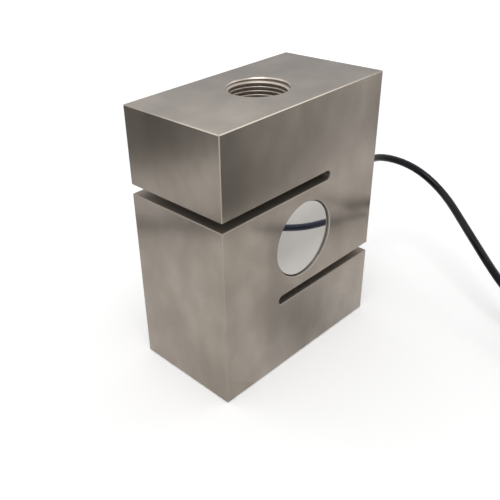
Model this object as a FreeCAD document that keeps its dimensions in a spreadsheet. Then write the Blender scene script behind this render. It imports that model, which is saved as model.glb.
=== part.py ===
import FreeCAD, Part
import math
import os
import Sketcher

# S-type load cell: one steel block machined into an S by two saw slots, with a threaded hole for a
# rod end at each end. A blind round cavity in each broad face leaves a thin web between them, and
# strain gauges on both sides of that web measure its shear. A polished disc closes each cavity, and
# the signal cable leaves one narrow side through a gland.
#
# Frame: millimetres, +Z up through both threaded holes, origin at the centre of the bottom face.
# +X is the side that the cable leaves, and the front is the broad face towards -Y.

os.makedirs("parts", exist_ok=True)
doc = FreeCAD.newDocument("s_type_load_cell")
Vec = FreeCAD.Vector

# ---------------------------------------------------------------- driving sizes, millimetres

SIZES = [
    ("body_width", 112, "spring body, across its broad face"),
    ("body_thickness", 61, "spring body, front to rear"),
    ("body_height", 140, "spring body, end to end"),
    ("edge_break", 0.4, "chamfer on the outer edges"),
    ("slot_gap", 4.75, "height of each saw slot"),
    ("slot_offset", 28.3, "from mid-height to the middle of a slot"),
    ("slot_reach", 18.2, "how far a slot runs past the middle of the block"),
    ("mount_thread", 30, "major diameter of the threaded holes"),
    ("mount_mouth", 31.2, "diameter of the countersink at a threaded hole"),
    ("cover_seat", 40, "diameter of the counterbore that takes a cover"),
    ("cover_recess", 1.3, "from the broad face down to the cover"),
    ("cover_plate", 1.5, "thickness of a cover"),
    ("cover_gap", 0.5, "sealant all round a cover"),
    ("seat_break", 0.3, "chamfer at the counterbore's mouth and on the cover's rim"),
    ("cavity_bore", 34, "diameter of the gauge cavity under a cover"),
    ("web", 12, "thickness of the web between the cavities"),
    ("wire_hole", 6, "diameter of the hole through the web"),
    ("wire_hole_offset", 13, "from the middle of the block to that hole"),
    ("cable_bore", 7, "diameter of the bore from the gland to that hole"),
    ("gland_thread", 12, "major diameter of the gland's thread"),
    ("gland_thread_length", 8, "length of the gland's thread"),
    ("gland_hole_depth", 10, "depth of the gland's tapped hole"),
    ("gland_hex", 14, "gland, across its flats"),
    ("gland_washer", 1.5, "thickness of the washer under the gland"),
    ("gland_flange", 4, "length of the gland's hexagon"),
    ("gland_neck", 11, "diameter of the gland's upper thread"),
    ("gland_neck_length", 7.5, "length of the gland's upper thread"),
    ("gland_bore", 5, "bore of the gland, round the cable"),
    ("seal_wall", 1.6, "wall of the rubber seal"),
    ("seal_length", 8, "length of the rubber seal"),
    ("nut_gap", 1.5, "thread showing between the gland's hexagon and its nut"),
    ("nut_hex_length", 9, "length of the gland nut's hexagon"),
    ("nut_nose", 4, "length of the gland nut's rounded nose"),
    ("thread_clearance", 0.05, "clearance on the radius of the gland's threads"),
    ("gauge_length", 13, "gauge backing, across the block"),
    ("gauge_height", 9, "gauge backing, up the block"),
    ("gauge_backing", 0.1, "thickness of the gauge backing"),
    ("foil", 0.05, "thickness of the gauge foil"),
    ("coating", 1.2, "thickness of the soft coating over a gauge"),
    ("board_length", 14, "terminal board, across the block"),
    ("board_height", 5.5, "terminal board, up the block"),
    ("board", 1.6, "thickness of a terminal board"),
    ("board_drop", 10.4, "from mid-height to the middle of a terminal board"),
    ("resistor_length", 3.2, "length of a chip resistor"),
    ("resistor_height", 1.6, "width of a chip resistor"),
    ("resistor", 0.6, "thickness of a chip resistor"),
    ("cable", 4.5, "diameter of the cable"),
    ("core", 1.2, "diameter of one insulated core"),
    ("core_strip", 11, "from the hole through the web to the cut end of the jacket"),
    ("core_rise", 3.6, "lowest core's run over the front board"),
    ("core_step", 1.5, "from one core's run to the next"),
    ("gauge_ribbon", 0.4, "width of a gauge's lead ribbon"),
    ("ribbon", 0.1, "thickness of a lead ribbon"),
    ("jumper_wire", 0.5, "diameter of a wire between the two terminal boards"),
    ("jumper_rise", 0.6, "lowest jumper's run over a board"),
    ("jumper_step", 0.7, "from one jumper's run to the next"),
    ("jumper_inset", 0.7, "from a board's end to the jumpers"),
    ("coil_mid", 24, "radius of the coil at the middle of its turns"),
    ("coil_bundle", 18, "height and width of the coil's bundle of turns"),
    ("tie", 1, "thickness of a tie round the coil"),
    ("tie_width", 5, "width of a tie"),
    ("sleeve_wall", 0.5, "wall of the shrink sleeve at the cable's end"),
    ("sleeve_length", 12, "length of the shrink sleeve"),
    ("sleeve_grip", 5.4, "length of the sleeve that lies on the jacket"),
    ("tip", 0.8, "diameter of a tinned wire end"),
    ("tip_length", 5, "length of a tinned wire end"),
]

sheet = doc.addObject("Spreadsheet::Sheet", "Sizes")
for row, (alias, millimetres, meaning) in enumerate(SIZES, start=1):
    sheet.set("A%d" % row, meaning)
    sheet.set("B%d" % row, str(millimetres))
    sheet.setAlias("B%d" % row, alias)
doc.recompute()


def size(alias):
    return float(sheet.get(alias))


MID_HEIGHT = "Sizes.body_height / 2"
COVER_FLOOR = "Sizes.body_thickness / 2 - Sizes.cover_recess - Sizes.cover_plate"
parts = {}


def keep(label, shape_object):
    """Names a finished sub-part; its label is also its file's name."""
    shape_object.Label = label
    parts[label] = shape_object
    return shape_object


def keep_shape(label, shape):
    """A sub-part whose shape comes straight from Part's functions."""
    feature = doc.addObject("Part::Feature", label)
    feature.Shape = shape
    return keep(label, feature)


# ---------------------------------------------------------------- sketches

def sketch_on(body, name, role, out="0", up="0"):
    """A sketch on an origin plane of its own body, moved out along the normal and up in the plane."""
    sketch = body.newObject("Sketcher::SketchObject", name)
    plane = next(feature for feature in body.Origin.OriginFeatures if feature.Role == role)
    sketch.AttachmentSupport = [(plane, "")]
    sketch.MapMode = "FlatFace"
    sketch.setExpression("AttachmentOffset.Base.z", out)
    sketch.setExpression("AttachmentOffset.Base.y", up)
    return sketch


def pin(sketch, edge, end, along, up):
    """Holds a point of the sketch at its two distances from the sketch's origin."""
    drawn = sketch.getPoint(edge, end)
    for kind, distance, first in (("DistanceX", along, drawn.x), ("DistanceY", up, drawn.y)):
        index = sketch.addConstraint(Sketcher.Constraint(kind, -1, 1, edge, end, first))
        sketch.setExpression("Constraints[%d]" % index, distance)


def draw_polygon(sketch, corners):
    """A closed outline with each corner held by a pair of expressions."""
    first = sketch.GeometryCount
    count = len(corners)
    for step in range(count):
        angle, after = (2 * math.pi * (step + turn) / count for turn in (0, 1))
        sketch.addGeometry(Part.LineSegment(Vec(math.cos(angle), math.sin(angle), 0),
                                            Vec(math.cos(after), math.sin(after), 0)))
    for step in range(count):
        following = first + (step + 1) % count
        sketch.addConstraint(Sketcher.Constraint("Coincident", first + step, 2, following, 1))
    for step, (along, up) in enumerate(corners):
        pin(sketch, first + step, 1, along, up)


def draw_circle(sketch, diameter, along="0", up="0"):
    circle = sketch.addGeometry(Part.Circle(Vec(0, 0, 0), Vec(0, 0, 1), 1))
    index = sketch.addConstraint(Sketcher.Constraint("Diameter", circle, 2.0))
    sketch.setExpression("Constraints[%d]" % index, diameter)
    pin(sketch, circle, 3, along, up)


def pad(body, name, sketch, length, side="One side"):
    feature = body.newObject("PartDesign::Pad", name)
    feature.Profile = sketch
    feature.SideType = side
    feature.setExpression("Length", length)
    return feature


def pocket(body, name, sketch, depth=None, side="One side"):
    """A cut against the sketch's normal, to a depth or right through."""
    feature = body.newObject("PartDesign::Pocket", name)
    feature.Profile = sketch
    feature.SideType = side
    if depth is None:
        feature.Type = "ThroughAll"
    else:
        feature.setExpression("Length", depth)
    return feature


def chamfer(body, name, base, width, wanted):
    """Breaks the edges of the base feature that the test picks."""
    doc.recompute()
    names = ["Edge%d" % (number + 1) for number, edge in enumerate(base.Shape.Edges) if wanted(edge)]
    feature = body.newObject("PartDesign::Chamfer", name)
    feature.Base = (base, names)
    feature.setExpression("Size", width)
    doc.recompute()
    return feature


def is_ring(edge, diameter):
    return edge.Curve.TypeId == "Part::GeomCircle" and edge.isClosed() \
        and abs(2 * edge.Curve.Radius - diameter) < 1e-6


# ---------------------------------------------------------------- spring body

def make_spring_body():
    """The block, its two slots, threaded holes, gauge cavities and wire ways."""
    body = doc.addObject("PartDesign::Body", "spring_body")

    outline = sketch_on(body, "block_outline", "XZ_Plane", up=MID_HEIGHT)
    half_width, half_height = "Sizes.body_width / 2", "Sizes.body_height / 2"
    draw_polygon(outline, [("-" + half_width, "-" + half_height), (half_width, "-" + half_height),
                           (half_width, half_height), ("-" + half_width, half_height)])
    pad(body, "block", outline, "Sizes.body_thickness", "Symmetric")

    # the upper slot, open to the left; half a turn about the block's middle makes the lower one
    slot = sketch_on(body, "slot_outline", "XZ_Plane", up=MID_HEIGHT)
    draw_slot(slot)
    slot_cut = pocket(body, "slot", slot, side="Symmetric")

    mount = sketch_on(body, "mount_circle", "XY_Plane", out="Sizes.body_height")
    draw_circle(mount, "Sizes.mount_thread")
    mount_cut = pocket(body, "mount_hole", mount, "Sizes.body_height / 2 - Sizes.slot_offset")

    pair = body.newObject("PartDesign::PolarPattern", "slots_and_mounts")
    pair.Originals = [slot_cut, mount_cut]
    pair.Axis = (slot, ["N_Axis"])
    pair.Angle = 360
    pair.Occurrences = 2
    body.Tip = pair

    seat = sketch_on(body, "cover_seat_circle", "XZ_Plane", out="Sizes.body_thickness / 2", up=MID_HEIGHT)
    draw_circle(seat, "Sizes.cover_seat")
    seat_cut = pocket(body, "cover_seat", seat, "Sizes.cover_recess + Sizes.cover_plate")
    cavity = sketch_on(body, "cavity_circle", "XZ_Plane", out="Sizes.body_thickness / 2", up=MID_HEIGHT)
    draw_circle(cavity, "Sizes.cavity_bore")
    cavity_cut = pocket(body, "cavity", cavity, "(Sizes.body_thickness - Sizes.web) / 2")

    both_sides = body.newObject("PartDesign::Mirrored", "cavities_front_and_rear")
    both_sides.Originals = [seat_cut, cavity_cut]
    both_sides.MirrorPlane = (next(feature for feature in body.Origin.OriginFeatures
                                   if feature.Role == "XZ_Plane"), [""])
    body.Tip = both_sides

    web_hole = sketch_on(body, "wire_hole_circle", "XZ_Plane", up=MID_HEIGHT)
    draw_circle(web_hole, "Sizes.wire_hole", "Sizes.wire_hole_offset")
    pocket(body, "wire_hole", web_hole, side="Symmetric")

    gland_hole = sketch_on(body, "gland_circle", "YZ_Plane", out="Sizes.body_width / 2", up=MID_HEIGHT)
    draw_circle(gland_hole, "Sizes.gland_thread")
    pocket(body, "gland_hole", gland_hole, "Sizes.gland_hole_depth")
    bore = sketch_on(body, "cable_bore_circle", "YZ_Plane", out="Sizes.body_width / 2", up=MID_HEIGHT)
    draw_circle(bore, "Sizes.cable_bore")
    drilled = pocket(body, "cable_bore", bore, "Sizes.body_width / 2 - Sizes.wire_hole_offset")

    limits = (size("body_width") / 2, size("body_thickness") / 2)

    def on_outside(edge):
        """A straight or slot-end edge that lies in one of the six outer faces."""
        if edge.isClosed():
            return False
        box = edge.BoundBox
        flat_in = (abs(box.XMin) > limits[0] - 1e-6 and box.XLength < 1e-6,
                   abs(box.YMin) > limits[1] - 1e-6 and box.YLength < 1e-6,
                   (box.ZMin < 1e-6 or box.ZMax > size("body_height") - 1e-6) and box.ZLength < 1e-6)
        return any(flat_in)

    broken = chamfer(body, "outer_edges", drilled, "Sizes.edge_break", on_outside)
    mouths = chamfer(body, "mount_mouths", broken, "(Sizes.mount_mouth - Sizes.mount_thread) / 2",
                     lambda edge: is_ring(edge, size("mount_thread"))
                     and (edge.BoundBox.ZMin < 1e-6 or edge.BoundBox.ZMax > size("body_height") - 1e-6))
    chamfer(body, "seat_mouths", mouths, "Sizes.seat_break",
            lambda edge: is_ring(edge, size("cover_seat")) and abs(edge.BoundBox.YMin) > limits[1] - 1e-6)
    return keep("spring_body", body)


def draw_slot(sketch):
    """A slot open at the block's left side, with a round end past its middle."""
    mouth, level, half = -size("body_width"), size("slot_offset"), size("slot_gap") / 2
    centre = size("slot_reach") - half
    sketch.addGeometry(Part.LineSegment(Vec(mouth, level + half, 0), Vec(mouth, level - half, 0)))
    sketch.addGeometry(Part.LineSegment(Vec(mouth, level - half, 0), Vec(centre, level - half, 0)))
    sketch.addGeometry(Part.ArcOfCircle(Part.Circle(Vec(centre, level, 0), Vec(0, 0, 1), half),
                                        -math.pi / 2, math.pi / 2))
    sketch.addGeometry(Part.LineSegment(Vec(centre, level + half, 0), Vec(mouth, level + half, 0)))
    sketch.addConstraint([Sketcher.Constraint("Coincident", 0, 2, 1, 1),
                          Sketcher.Constraint("Tangent", 1, 2, 2, 1),
                          Sketcher.Constraint("Tangent", 2, 2, 3, 1),
                          Sketcher.Constraint("Coincident", 3, 2, 0, 1),
                          Sketcher.Constraint("Vertical", 0),
                          Sketcher.Constraint("Horizontal", 1)])
    pin(sketch, 2, 3, "Sizes.slot_reach - Sizes.slot_gap / 2", "Sizes.slot_offset")
    pin(sketch, 0, 1, "-Sizes.body_width", "Sizes.slot_offset + Sizes.slot_gap / 2")
    index = sketch.addConstraint(Sketcher.Constraint("DistanceY", 0, 2, 0, 1, 2 * half))
    sketch.setExpression("Constraints[%d]" % index, "Sizes.slot_gap")


# ---------------------------------------------------------------- covers and their sealant

def make_cover(side):
    """A polished disc that rests on the ledge of its counterbore."""
    body = doc.addObject("PartDesign::Body", side + "_cover")
    face = "Sizes.body_thickness / 2 - Sizes.cover_recess"
    disc = sketch_on(body, side + "_disc", "XZ_Plane", up=MID_HEIGHT,
                     out=face if side == "front" else "-(" + face + ")")
    draw_circle(disc, "Sizes.cover_seat - 2 * Sizes.cover_gap")
    plate = pad(body, side + "_plate", disc, "Sizes.cover_plate")
    plate.Reversed = side == "front"
    outer = size("body_thickness") / 2 - size("cover_recess")
    chamfer(body, side + "_rim", plate, "Sizes.seat_break",
            lambda edge: abs(abs(edge.BoundBox.YMin) - outer) < 1e-6 and edge.isClosed())
    return keep(side + "_cover", body)


def cylinder(name, radius, height, rotation, **place):
    solid = doc.addObject("Part::Cylinder", name)
    solid.setExpression("Radius", radius)
    solid.setExpression("Height", height)
    solid.Placement = FreeCAD.Placement(Vec(0, 0, 0), rotation)
    for axis, expression in place.items():
        solid.setExpression("Placement.Base." + axis, expression)
    return solid


def cut(label, base, tool):
    feature = doc.addObject("Part::Cut", label)
    feature.Base, feature.Tool = base, tool
    return feature


OUTWARD = {"front": FreeCAD.Rotation(Vec(1, 0, 0), 90), "rear": FreeCAD.Rotation(Vec(1, 0, 0), -90)}
SIGN = {"front": -1, "rear": 1}


def towards(side, depth):
    """The expression of a distance from the mid-plane, on the side that it names."""
    return "%d * (%s)" % (SIGN[side], depth)


def make_sealant(side):
    """The bead that fills the gap round a cover."""
    height = "Sizes.cover_plate - Sizes.seat_break"
    place = {"y": towards(side, COVER_FLOOR), "z": MID_HEIGHT}
    outer = cylinder(side + "_bead", "Sizes.cover_seat / 2", height, OUTWARD[side], **place)
    inner = cylinder(side + "_bead_bore", "Sizes.cover_seat / 2 - Sizes.cover_gap", height,
                     OUTWARD[side], **place)
    return keep(side + "_sealant_ring", cut(side + "_sealant_ring", outer, inner))


# ---------------------------------------------------------------- gauges, boards and resistors

def plate_on(label, side, length, height, thickness, base, along="0", up="0"):
    """A flat block whose back lies at a distance from the mid-plane, centred along and up."""
    box = doc.addObject("Part::Box", label)
    box.setExpression("Length", length)
    box.setExpression("Width", thickness)
    box.setExpression("Height", height)
    near = "(%s)" % base if side == "rear" else "-(%s) - (%s)" % (base, thickness)
    box.setExpression("Placement.Base.x", "%s - (%s) / 2" % (along, length))
    box.setExpression("Placement.Base.y", near)
    box.setExpression("Placement.Base.z", "%s + %s - (%s) / 2" % (MID_HEIGHT, up, height))
    return box


FOIL_STRIP = 0.16       # width of one strand of the gauge foil
FOIL_PITCH = 0.4        # from one strand to the next
FOIL_STRANDS = 8
FOIL_RUN = 3.2          # length of a strand
FOIL_TAB = 0.9          # side of a solder tab
GRID_CENTRES = (-3.1, 3.1)
COATING_MARGIN = 1.0    # how far the coating reaches past the backing
COATING_SLOPE = 0.7     # the part of the coating's thickness that slopes at its rim


def foil_grid(thickness):
    """One grid: strands joined end to end in a zigzag, with a tab at each end."""
    height = FOIL_PITCH * (FOIL_STRANDS - 1)
    pieces = []
    for strand in range(FOIL_STRANDS):
        level = strand * FOIL_PITCH - height / 2
        pieces.append(Part.makeBox(FOIL_RUN, thickness, FOIL_STRIP,
                                   Vec(-FOIL_RUN / 2, 0, level - FOIL_STRIP / 2)))
        if strand < FOIL_STRANDS - 1:
            end = FOIL_RUN / 2 - FOIL_STRIP if strand % 2 == 0 else -FOIL_RUN / 2
            pieces.append(Part.makeBox(FOIL_STRIP, thickness, FOIL_PITCH + FOIL_STRIP,
                                       Vec(end, 0, level - FOIL_STRIP / 2)))
    for level in (-height / 2 - FOIL_TAB, height / 2):
        pieces.append(Part.makeBox(FOIL_TAB, thickness, FOIL_TAB, Vec(-FOIL_RUN / 2, 0, level)))
    return pieces[0].fuse(pieces[1:]).removeSplitter()


def tab_points():
    """The middles of the four solder tabs, along the block and up from mid-height."""
    reach = FOIL_PITCH * (FOIL_STRANDS - 1) / 2 + FOIL_TAB / 2
    spots = []
    for centre, lean in zip(GRID_CENTRES, (-45, 45)):
        turn = FreeCAD.Rotation(Vec(0, 1, 0), lean)
        for level in (-reach, reach):
            spot = turn.multVec(Vec(FOIL_TAB / 2 - FOIL_RUN / 2, 0, level))
            spots.append((centre + spot.x, spot.z))
    return spots


def make_gauge(side):
    """A shear gauge: two grids at 45 degrees either way on one backing, under a soft coating."""
    floor = size("web") / 2
    level = size("body_height") / 2
    backing = keep(side + "_gauge_backing",
                   plate_on(side + "_gauge_backing", side, "Sizes.gauge_length", "Sizes.gauge_height",
                            "Sizes.gauge_backing", "Sizes.web / 2"))
    start = floor + size("gauge_backing") + (size("foil") if side == "front" else 0)
    grids = []
    for centre, lean in zip(GRID_CENTRES, (-45, 45)):
        grid = foil_grid(size("foil"))
        grid.Placement = FreeCAD.Placement(Vec(centre, SIGN[side] * start, level),
                                           FreeCAD.Rotation(Vec(0, 1, 0), lean))
        grids.append(grid)
    foil = keep_shape(side + "_gauge_foil", Part.makeCompound(grids))

    wires = keep_shape(side + "_gauge_leads", Part.makeCompound(
        [ribbon(route) for route in gauge_lead_routes(side)]))

    doc.recompute()
    length = size("gauge_length") + 2 * COATING_MARGIN
    height = size("gauge_height") + COATING_MARGIN
    thickness = size("coating")
    block = Part.makeBox(length, thickness, height,
                         Vec(-length / 2, floor if side == "rear" else -floor - thickness,
                             level - height / 2))
    rim = [edge for edge in block.Edges if abs(abs(edge.BoundBox.Center.y) - floor - thickness) < 1e-6]
    pillow = block.makeChamfer(COATING_SLOPE * thickness, rim)
    keep_shape(side + "_gauge_coating", pillow.cut([backing.Shape, foil.Shape, wires.Shape]))


PAD_SPREAD = 3.0        # from one solder pad of a board to the next
BOARD_UPPER_ROW = 1.4   # the gauge's pads, above the middle of the board
BOARD_LOWER_ROW = -1.4  # the cable's pads, below it
LEAD_ARCH = 1.0         # a gauge lead's run, over the coating
LEAD_STEP = 0.9         # how much higher the upper tabs' leads run
ZERO_BALANCE_PLACE = "-4"   # the two resistors' middles, along the rear board
SPAN_PLACE = "0.5"
CAP_LENGTH = "0.5"      # a resistor's end cap
CAP_WRAP = "0.05"       # how far a cap stands out from the chip


def board_face():
    return size("web") / 2 + size("board")


def board_level():
    return size("body_height") / 2 - size("board_drop")


def pad_place(number):
    return PAD_SPREAD * (number - 1.5)


def gauge_lead_routes(side):
    """Each wire rises from its tab, arches to the board's upper row and comes down on its pad."""
    sign = SIGN[side]
    tab_face = size("web") / 2 + size("gauge_backing") + size("foil")
    rise = size("coating") + LEAD_ARCH
    routes = []
    for number, (along, up) in enumerate(sorted(tab_points())):
        start = Vec(along, sign * tab_face, size("body_height") / 2 + up)
        end = Vec(pad_place(number), sign * board_face(), board_level() + BOARD_UPPER_ROW)
        height = sign * (tab_face + rise + (LEAD_STEP if up > 0 else 0))
        routes.append([start, Vec(start.x, height, start.z), Vec(end.x, height, end.z), end])
    return routes


def make_board(side):
    """A terminal board on the web, below the gauge, with two rows of solder pads."""
    keep(side + "_terminal_board",
         plate_on(side + "_terminal_board", side, "Sizes.board_length", "Sizes.board_height",
                  "Sizes.board", "Sizes.web / 2", up="-Sizes.board_drop"))


def make_resistor(label, along):
    """A chip resistor on the rear board, with its metal end caps."""
    base = "Sizes.web / 2 + Sizes.board"
    drop = "-Sizes.board_drop - Sizes.resistor_height / 2"
    chip = plate_on(label + "_chip", "rear", "Sizes.resistor_length", "Sizes.resistor_height",
                    "Sizes.resistor", base, along, drop)
    middle = "(Sizes.resistor_length - %s + 2 * %s) / 2" % (CAP_LENGTH, CAP_WRAP)
    caps = [plate_on(label + "_cap_" + end, "rear", CAP_LENGTH, "Sizes.resistor_height + 2 * " + CAP_WRAP,
                     "Sizes.resistor + " + CAP_WRAP, base, "%s %s %s" % (along, sign, middle), drop)
            for end, sign in (("left", "-"), ("right", "+"))]
    whole = doc.addObject("Part::MultiFuse", label)
    whole.Shapes = [chip] + caps
    return keep(label, whole)


# ---------------------------------------------------------------- round wires and cords

RUN_SHARE = 0.45        # the part of the shorter run that a bend takes from each side


def bent_tube(points, diameter, label):
    """A round solid along straight runs joined by tangent arcs, each as large as its runs allow.

    Runs are cylinders and bends are parts of a torus. It prints the tube's length and bends' radii.
    """
    solids, radii, length, start = [], [], 0.0, points[0]
    for before, corner, after in zip(points, points[1:], points[2:]):
        back, ahead = before - corner, after - corner
        reach = RUN_SHARE * min(back.Length, ahead.Length)
        back.normalize()
        ahead.normalize()
        turn = math.pi - back.getAngle(ahead)
        radius = reach / math.tan(turn / 2)
        bend_start = corner + back * reach
        centre = corner + (back + ahead).normalize() * (radius / math.cos(turn / 2))
        axis = ahead.cross(back)
        section = Part.Face(Part.Wire(Part.Circle(bend_start, back, diameter / 2).toShape()))
        solids.append(Part.makeCylinder(diameter / 2, (bend_start - start).Length, start, -back))
        solids.append(section.revolve(centre, axis, math.degrees(turn)))
        length += (bend_start - start).Length + radius * turn
        radii.append(radius)
        start = corner + ahead * reach
    last = points[-1] - start
    solids.append(Part.makeCylinder(diameter / 2, last.Length, start, last))
    length += last.Length
    tube = solids[0].fuse(solids[1:]).removeSplitter()
    expected = math.pi * diameter ** 2 / 4 * length
    if len(tube.Solids) != 1 or abs(tube.Volume / expected - 1) > 0.001:
        raise ValueError("tube %s: volume %.2f, expected %.2f" % (label, tube.Volume, expected))
    print("%s: length %.1f, radii %s" % (label, length, [round(radius, 1) for radius in radii]))
    return tube.Solids[0]


def thin_wire(points, diameter):
    """A round solid along straight runs that meet in mitred corners, for the fine wires."""
    ring = Part.Wire(Part.Circle(points[0], points[1] - points[0], diameter / 2).toShape())
    return Part.makePolygon(points).makePipeShell([ring], True, False, 1)


def ribbon(points):
    """A flat lead along straight runs, its width across the block."""
    half, thin = size("gauge_ribbon") / 2, size("ribbon") / 2
    corners = [points[0] + Vec(x, 0, z) for x, z in ((-half, -thin), (half, -thin), (half, thin), (-half, thin))]
    section = Part.makePolygon(corners + corners[:1])
    return Part.makePolygon(points).makePipeShell([section], True, False, 1)


# ---------------------------------------------------------------- wiring inside the block

CORE_PLACES = ((-0.65, -0.65), (-0.65, 0.65), (0.65, -0.65), (0.65, 0.65))
CORE_NAMES = ("core_red", "core_black", "core_green", "core_white")
JUMPER_PLACES = ((-2.2, 0.0), (-1.6, -1.6), (-1.6, 1.6))


def make_cores():
    """The cable's four cores: along the bore, out through the web's hole and over to the board."""
    hole = size("wire_hole_offset")
    level = size("body_height") / 2
    start = hole + size("core_strip")
    last = len(CORE_NAMES) - 1
    for number, (name, (out, up)) in enumerate(zip(CORE_NAMES, reversed(CORE_PLACES))):
        height = -(board_face() + size("core_rise") + size("core_step") * (last - number))
        pad_along = pad_place(number)
        routed = [Vec(start, -out, level + up),
                  Vec(hole + out, -out, level + up),
                  Vec(hole + out, height, level + up),
                  Vec(pad_along, height, board_level() + BOARD_LOWER_ROW),
                  Vec(pad_along, -board_face(), board_level() + BOARD_LOWER_ROW)]
        keep_shape(name, thin_wire(routed, size("core")))


def make_jumpers():
    """Three thin wires through the web that join the front board to the rear one."""
    hole = size("wire_hole_offset")
    level = size("body_height") / 2
    wires = []
    for number, (out, up) in enumerate(JUMPER_PLACES):
        height = board_face() + size("jumper_rise") + size("jumper_step") * number
        pad_along = size("board_length") / 2 - size("jumper_inset")
        pad_up = board_level() + BOARD_LOWER_ROW * (number - 1)
        wires.append(thin_wire([Vec(pad_along, -board_face(), pad_up),
                                Vec(pad_along, -height, pad_up),
                                Vec(hole + out, -height, level + up),
                                Vec(hole + out, height, level + up),
                                Vec(pad_along, height, pad_up),
                                Vec(pad_along, board_face(), pad_up)], size("jumper_wire")))
    keep_shape("bridge_jumpers", Part.makeCompound(wires))


# ---------------------------------------------------------------- cable gland

def turned(label, profile):
    """A turned piece round the cable's axis, from its half section: distance from the block, radius."""
    body = doc.addObject("PartDesign::Body", label)
    sketch = sketch_on(body, label + "_section", "XZ_Plane", up=MID_HEIGHT)
    draw_polygon(sketch, [("Sizes.body_width / 2 + " + out, radius) for out, radius in profile])
    turn = body.newObject("PartDesign::Revolution", label + "_turned")
    turn.Profile = sketch
    turn.ReferenceAxis = (sketch, ["H_Axis"])
    turn.Angle = 360
    return keep(label, body)


def mill_hexagon(body, name, end, length):
    """Cuts six flats over a length that ends at a distance from the block."""
    sketch = sketch_on(body, name, "YZ_Plane", out="Sizes.body_width / 2 + " + end, up=MID_HEIGHT)
    draw_polygon(sketch, [("Sizes.gland_hex / sqrt(3) * cos(%d deg)" % angle,
                           "Sizes.gland_hex / sqrt(3) * sin(%d deg)" % angle)
                          for angle in range(30, 390, 60)])
    draw_circle(sketch, "Sizes.gland_hex * 1.4")
    pocket(body, name + "_flats", sketch, length)


WASHER = "Sizes.gland_washer"
FLANGE_END = "(Sizes.gland_washer + Sizes.gland_flange)"
NECK_END = "(Sizes.gland_washer + Sizes.gland_flange + Sizes.gland_neck_length)"
NUT_START = "(Sizes.gland_washer + Sizes.gland_flange + Sizes.nut_gap)"
NUT_HEX_END = "(Sizes.gland_washer + Sizes.gland_flange + Sizes.nut_gap + Sizes.nut_hex_length)"
NUT_END = "(Sizes.gland_washer + Sizes.gland_flange + Sizes.nut_gap + Sizes.nut_hex_length" \
          " + Sizes.nut_nose)"
HEX_CORNER = "Sizes.gland_hex / sqrt(3)"
CORNER_BREAK = "0.6"
SEAL_RADIUS = "(Sizes.cable / 2 + Sizes.seal_wall)"
SEAL_BASE = "(Sizes.gland_washer + Sizes.gland_flange)"
SEAL_END = "(Sizes.gland_washer + Sizes.gland_flange + Sizes.seal_length)"


def make_gland():
    """Washer, body with its seal, and the nut that squeezes the seal onto the cable."""
    turned("gland_washer", [
        ("0", "Sizes.gland_thread / 2"),
        (WASHER, "Sizes.gland_thread / 2"),
        (WASHER, "Sizes.gland_hex / 2"),
        ("0", "Sizes.gland_hex / 2")])

    screw = "(Sizes.gland_thread / 2 - Sizes.thread_clearance)"
    neck = "(Sizes.gland_neck / 2 - Sizes.thread_clearance)"
    body = turned("gland_body", [
        ("-Sizes.gland_thread_length", "Sizes.gland_bore / 2"),
        (SEAL_BASE, "Sizes.gland_bore / 2"),
        (SEAL_BASE, SEAL_RADIUS),
        (NECK_END, SEAL_RADIUS),
        (NECK_END, neck),
        (FLANGE_END, neck),
        (FLANGE_END, HEX_CORNER + " - " + CORNER_BREAK),
        (FLANGE_END + " - " + CORNER_BREAK + " / 2", HEX_CORNER),
        (WASHER, HEX_CORNER),
        (WASHER, screw),
        ("-Sizes.gland_thread_length", screw)])
    mill_hexagon(body, "gland_hexagon", FLANGE_END, "Sizes.gland_flange")

    turned("gland_seal", [
        (SEAL_BASE, "Sizes.cable / 2"),
        (SEAL_END + " + Sizes.seal_wall / 2", "Sizes.cable / 2"),
        (SEAL_END, SEAL_RADIUS),
        (SEAL_BASE, SEAL_RADIUS)])

    nut = turned("gland_nut", [
        (NUT_START, "Sizes.gland_neck / 2"),
        (SEAL_END, "Sizes.gland_neck / 2"),
        (SEAL_END, SEAL_RADIUS + " + 0.2"),
        (SEAL_END + " + Sizes.seal_wall", "Sizes.gland_bore / 2"),
        (NUT_END, "Sizes.gland_bore / 2"),
        (NUT_END, "Sizes.gland_bore / 2 + 1"),
        (NUT_END + " - Sizes.nut_nose * 0.12", "Sizes.gland_hex / 2 * 0.66"),
        (NUT_END + " - Sizes.nut_nose * 0.45", "Sizes.gland_hex / 2 * 0.86"),
        (NUT_HEX_END, "Sizes.gland_hex / 2 * 0.97"),
        (NUT_HEX_END, HEX_CORNER + " - " + CORNER_BREAK),
        (NUT_HEX_END + " - " + CORNER_BREAK + " / 2", HEX_CORNER),
        (NUT_START + " + " + CORNER_BREAK + " / 2", HEX_CORNER),
        (NUT_START, HEX_CORNER + " - " + CORNER_BREAK)])
    mill_hexagon(nut, "nut_hexagon", NUT_HEX_END, "Sizes.nut_hex_length")


def make_cable_inner():
    """The jacket from its cut end in the bore to the gland's nose."""
    start = "Sizes.wire_hole_offset + Sizes.core_strip"
    keep("cable_inner", cylinder("cable_inner", "Sizes.cable / 2",
                                 "Sizes.body_width / 2 + %s - (%s)" % (NUT_END, start),
                                 FreeCAD.Rotation(Vec(0, 1, 0), 90), x=start, z=MID_HEIGHT))


# ---------------------------------------------------------------- free cable, coil and stripped end

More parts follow.
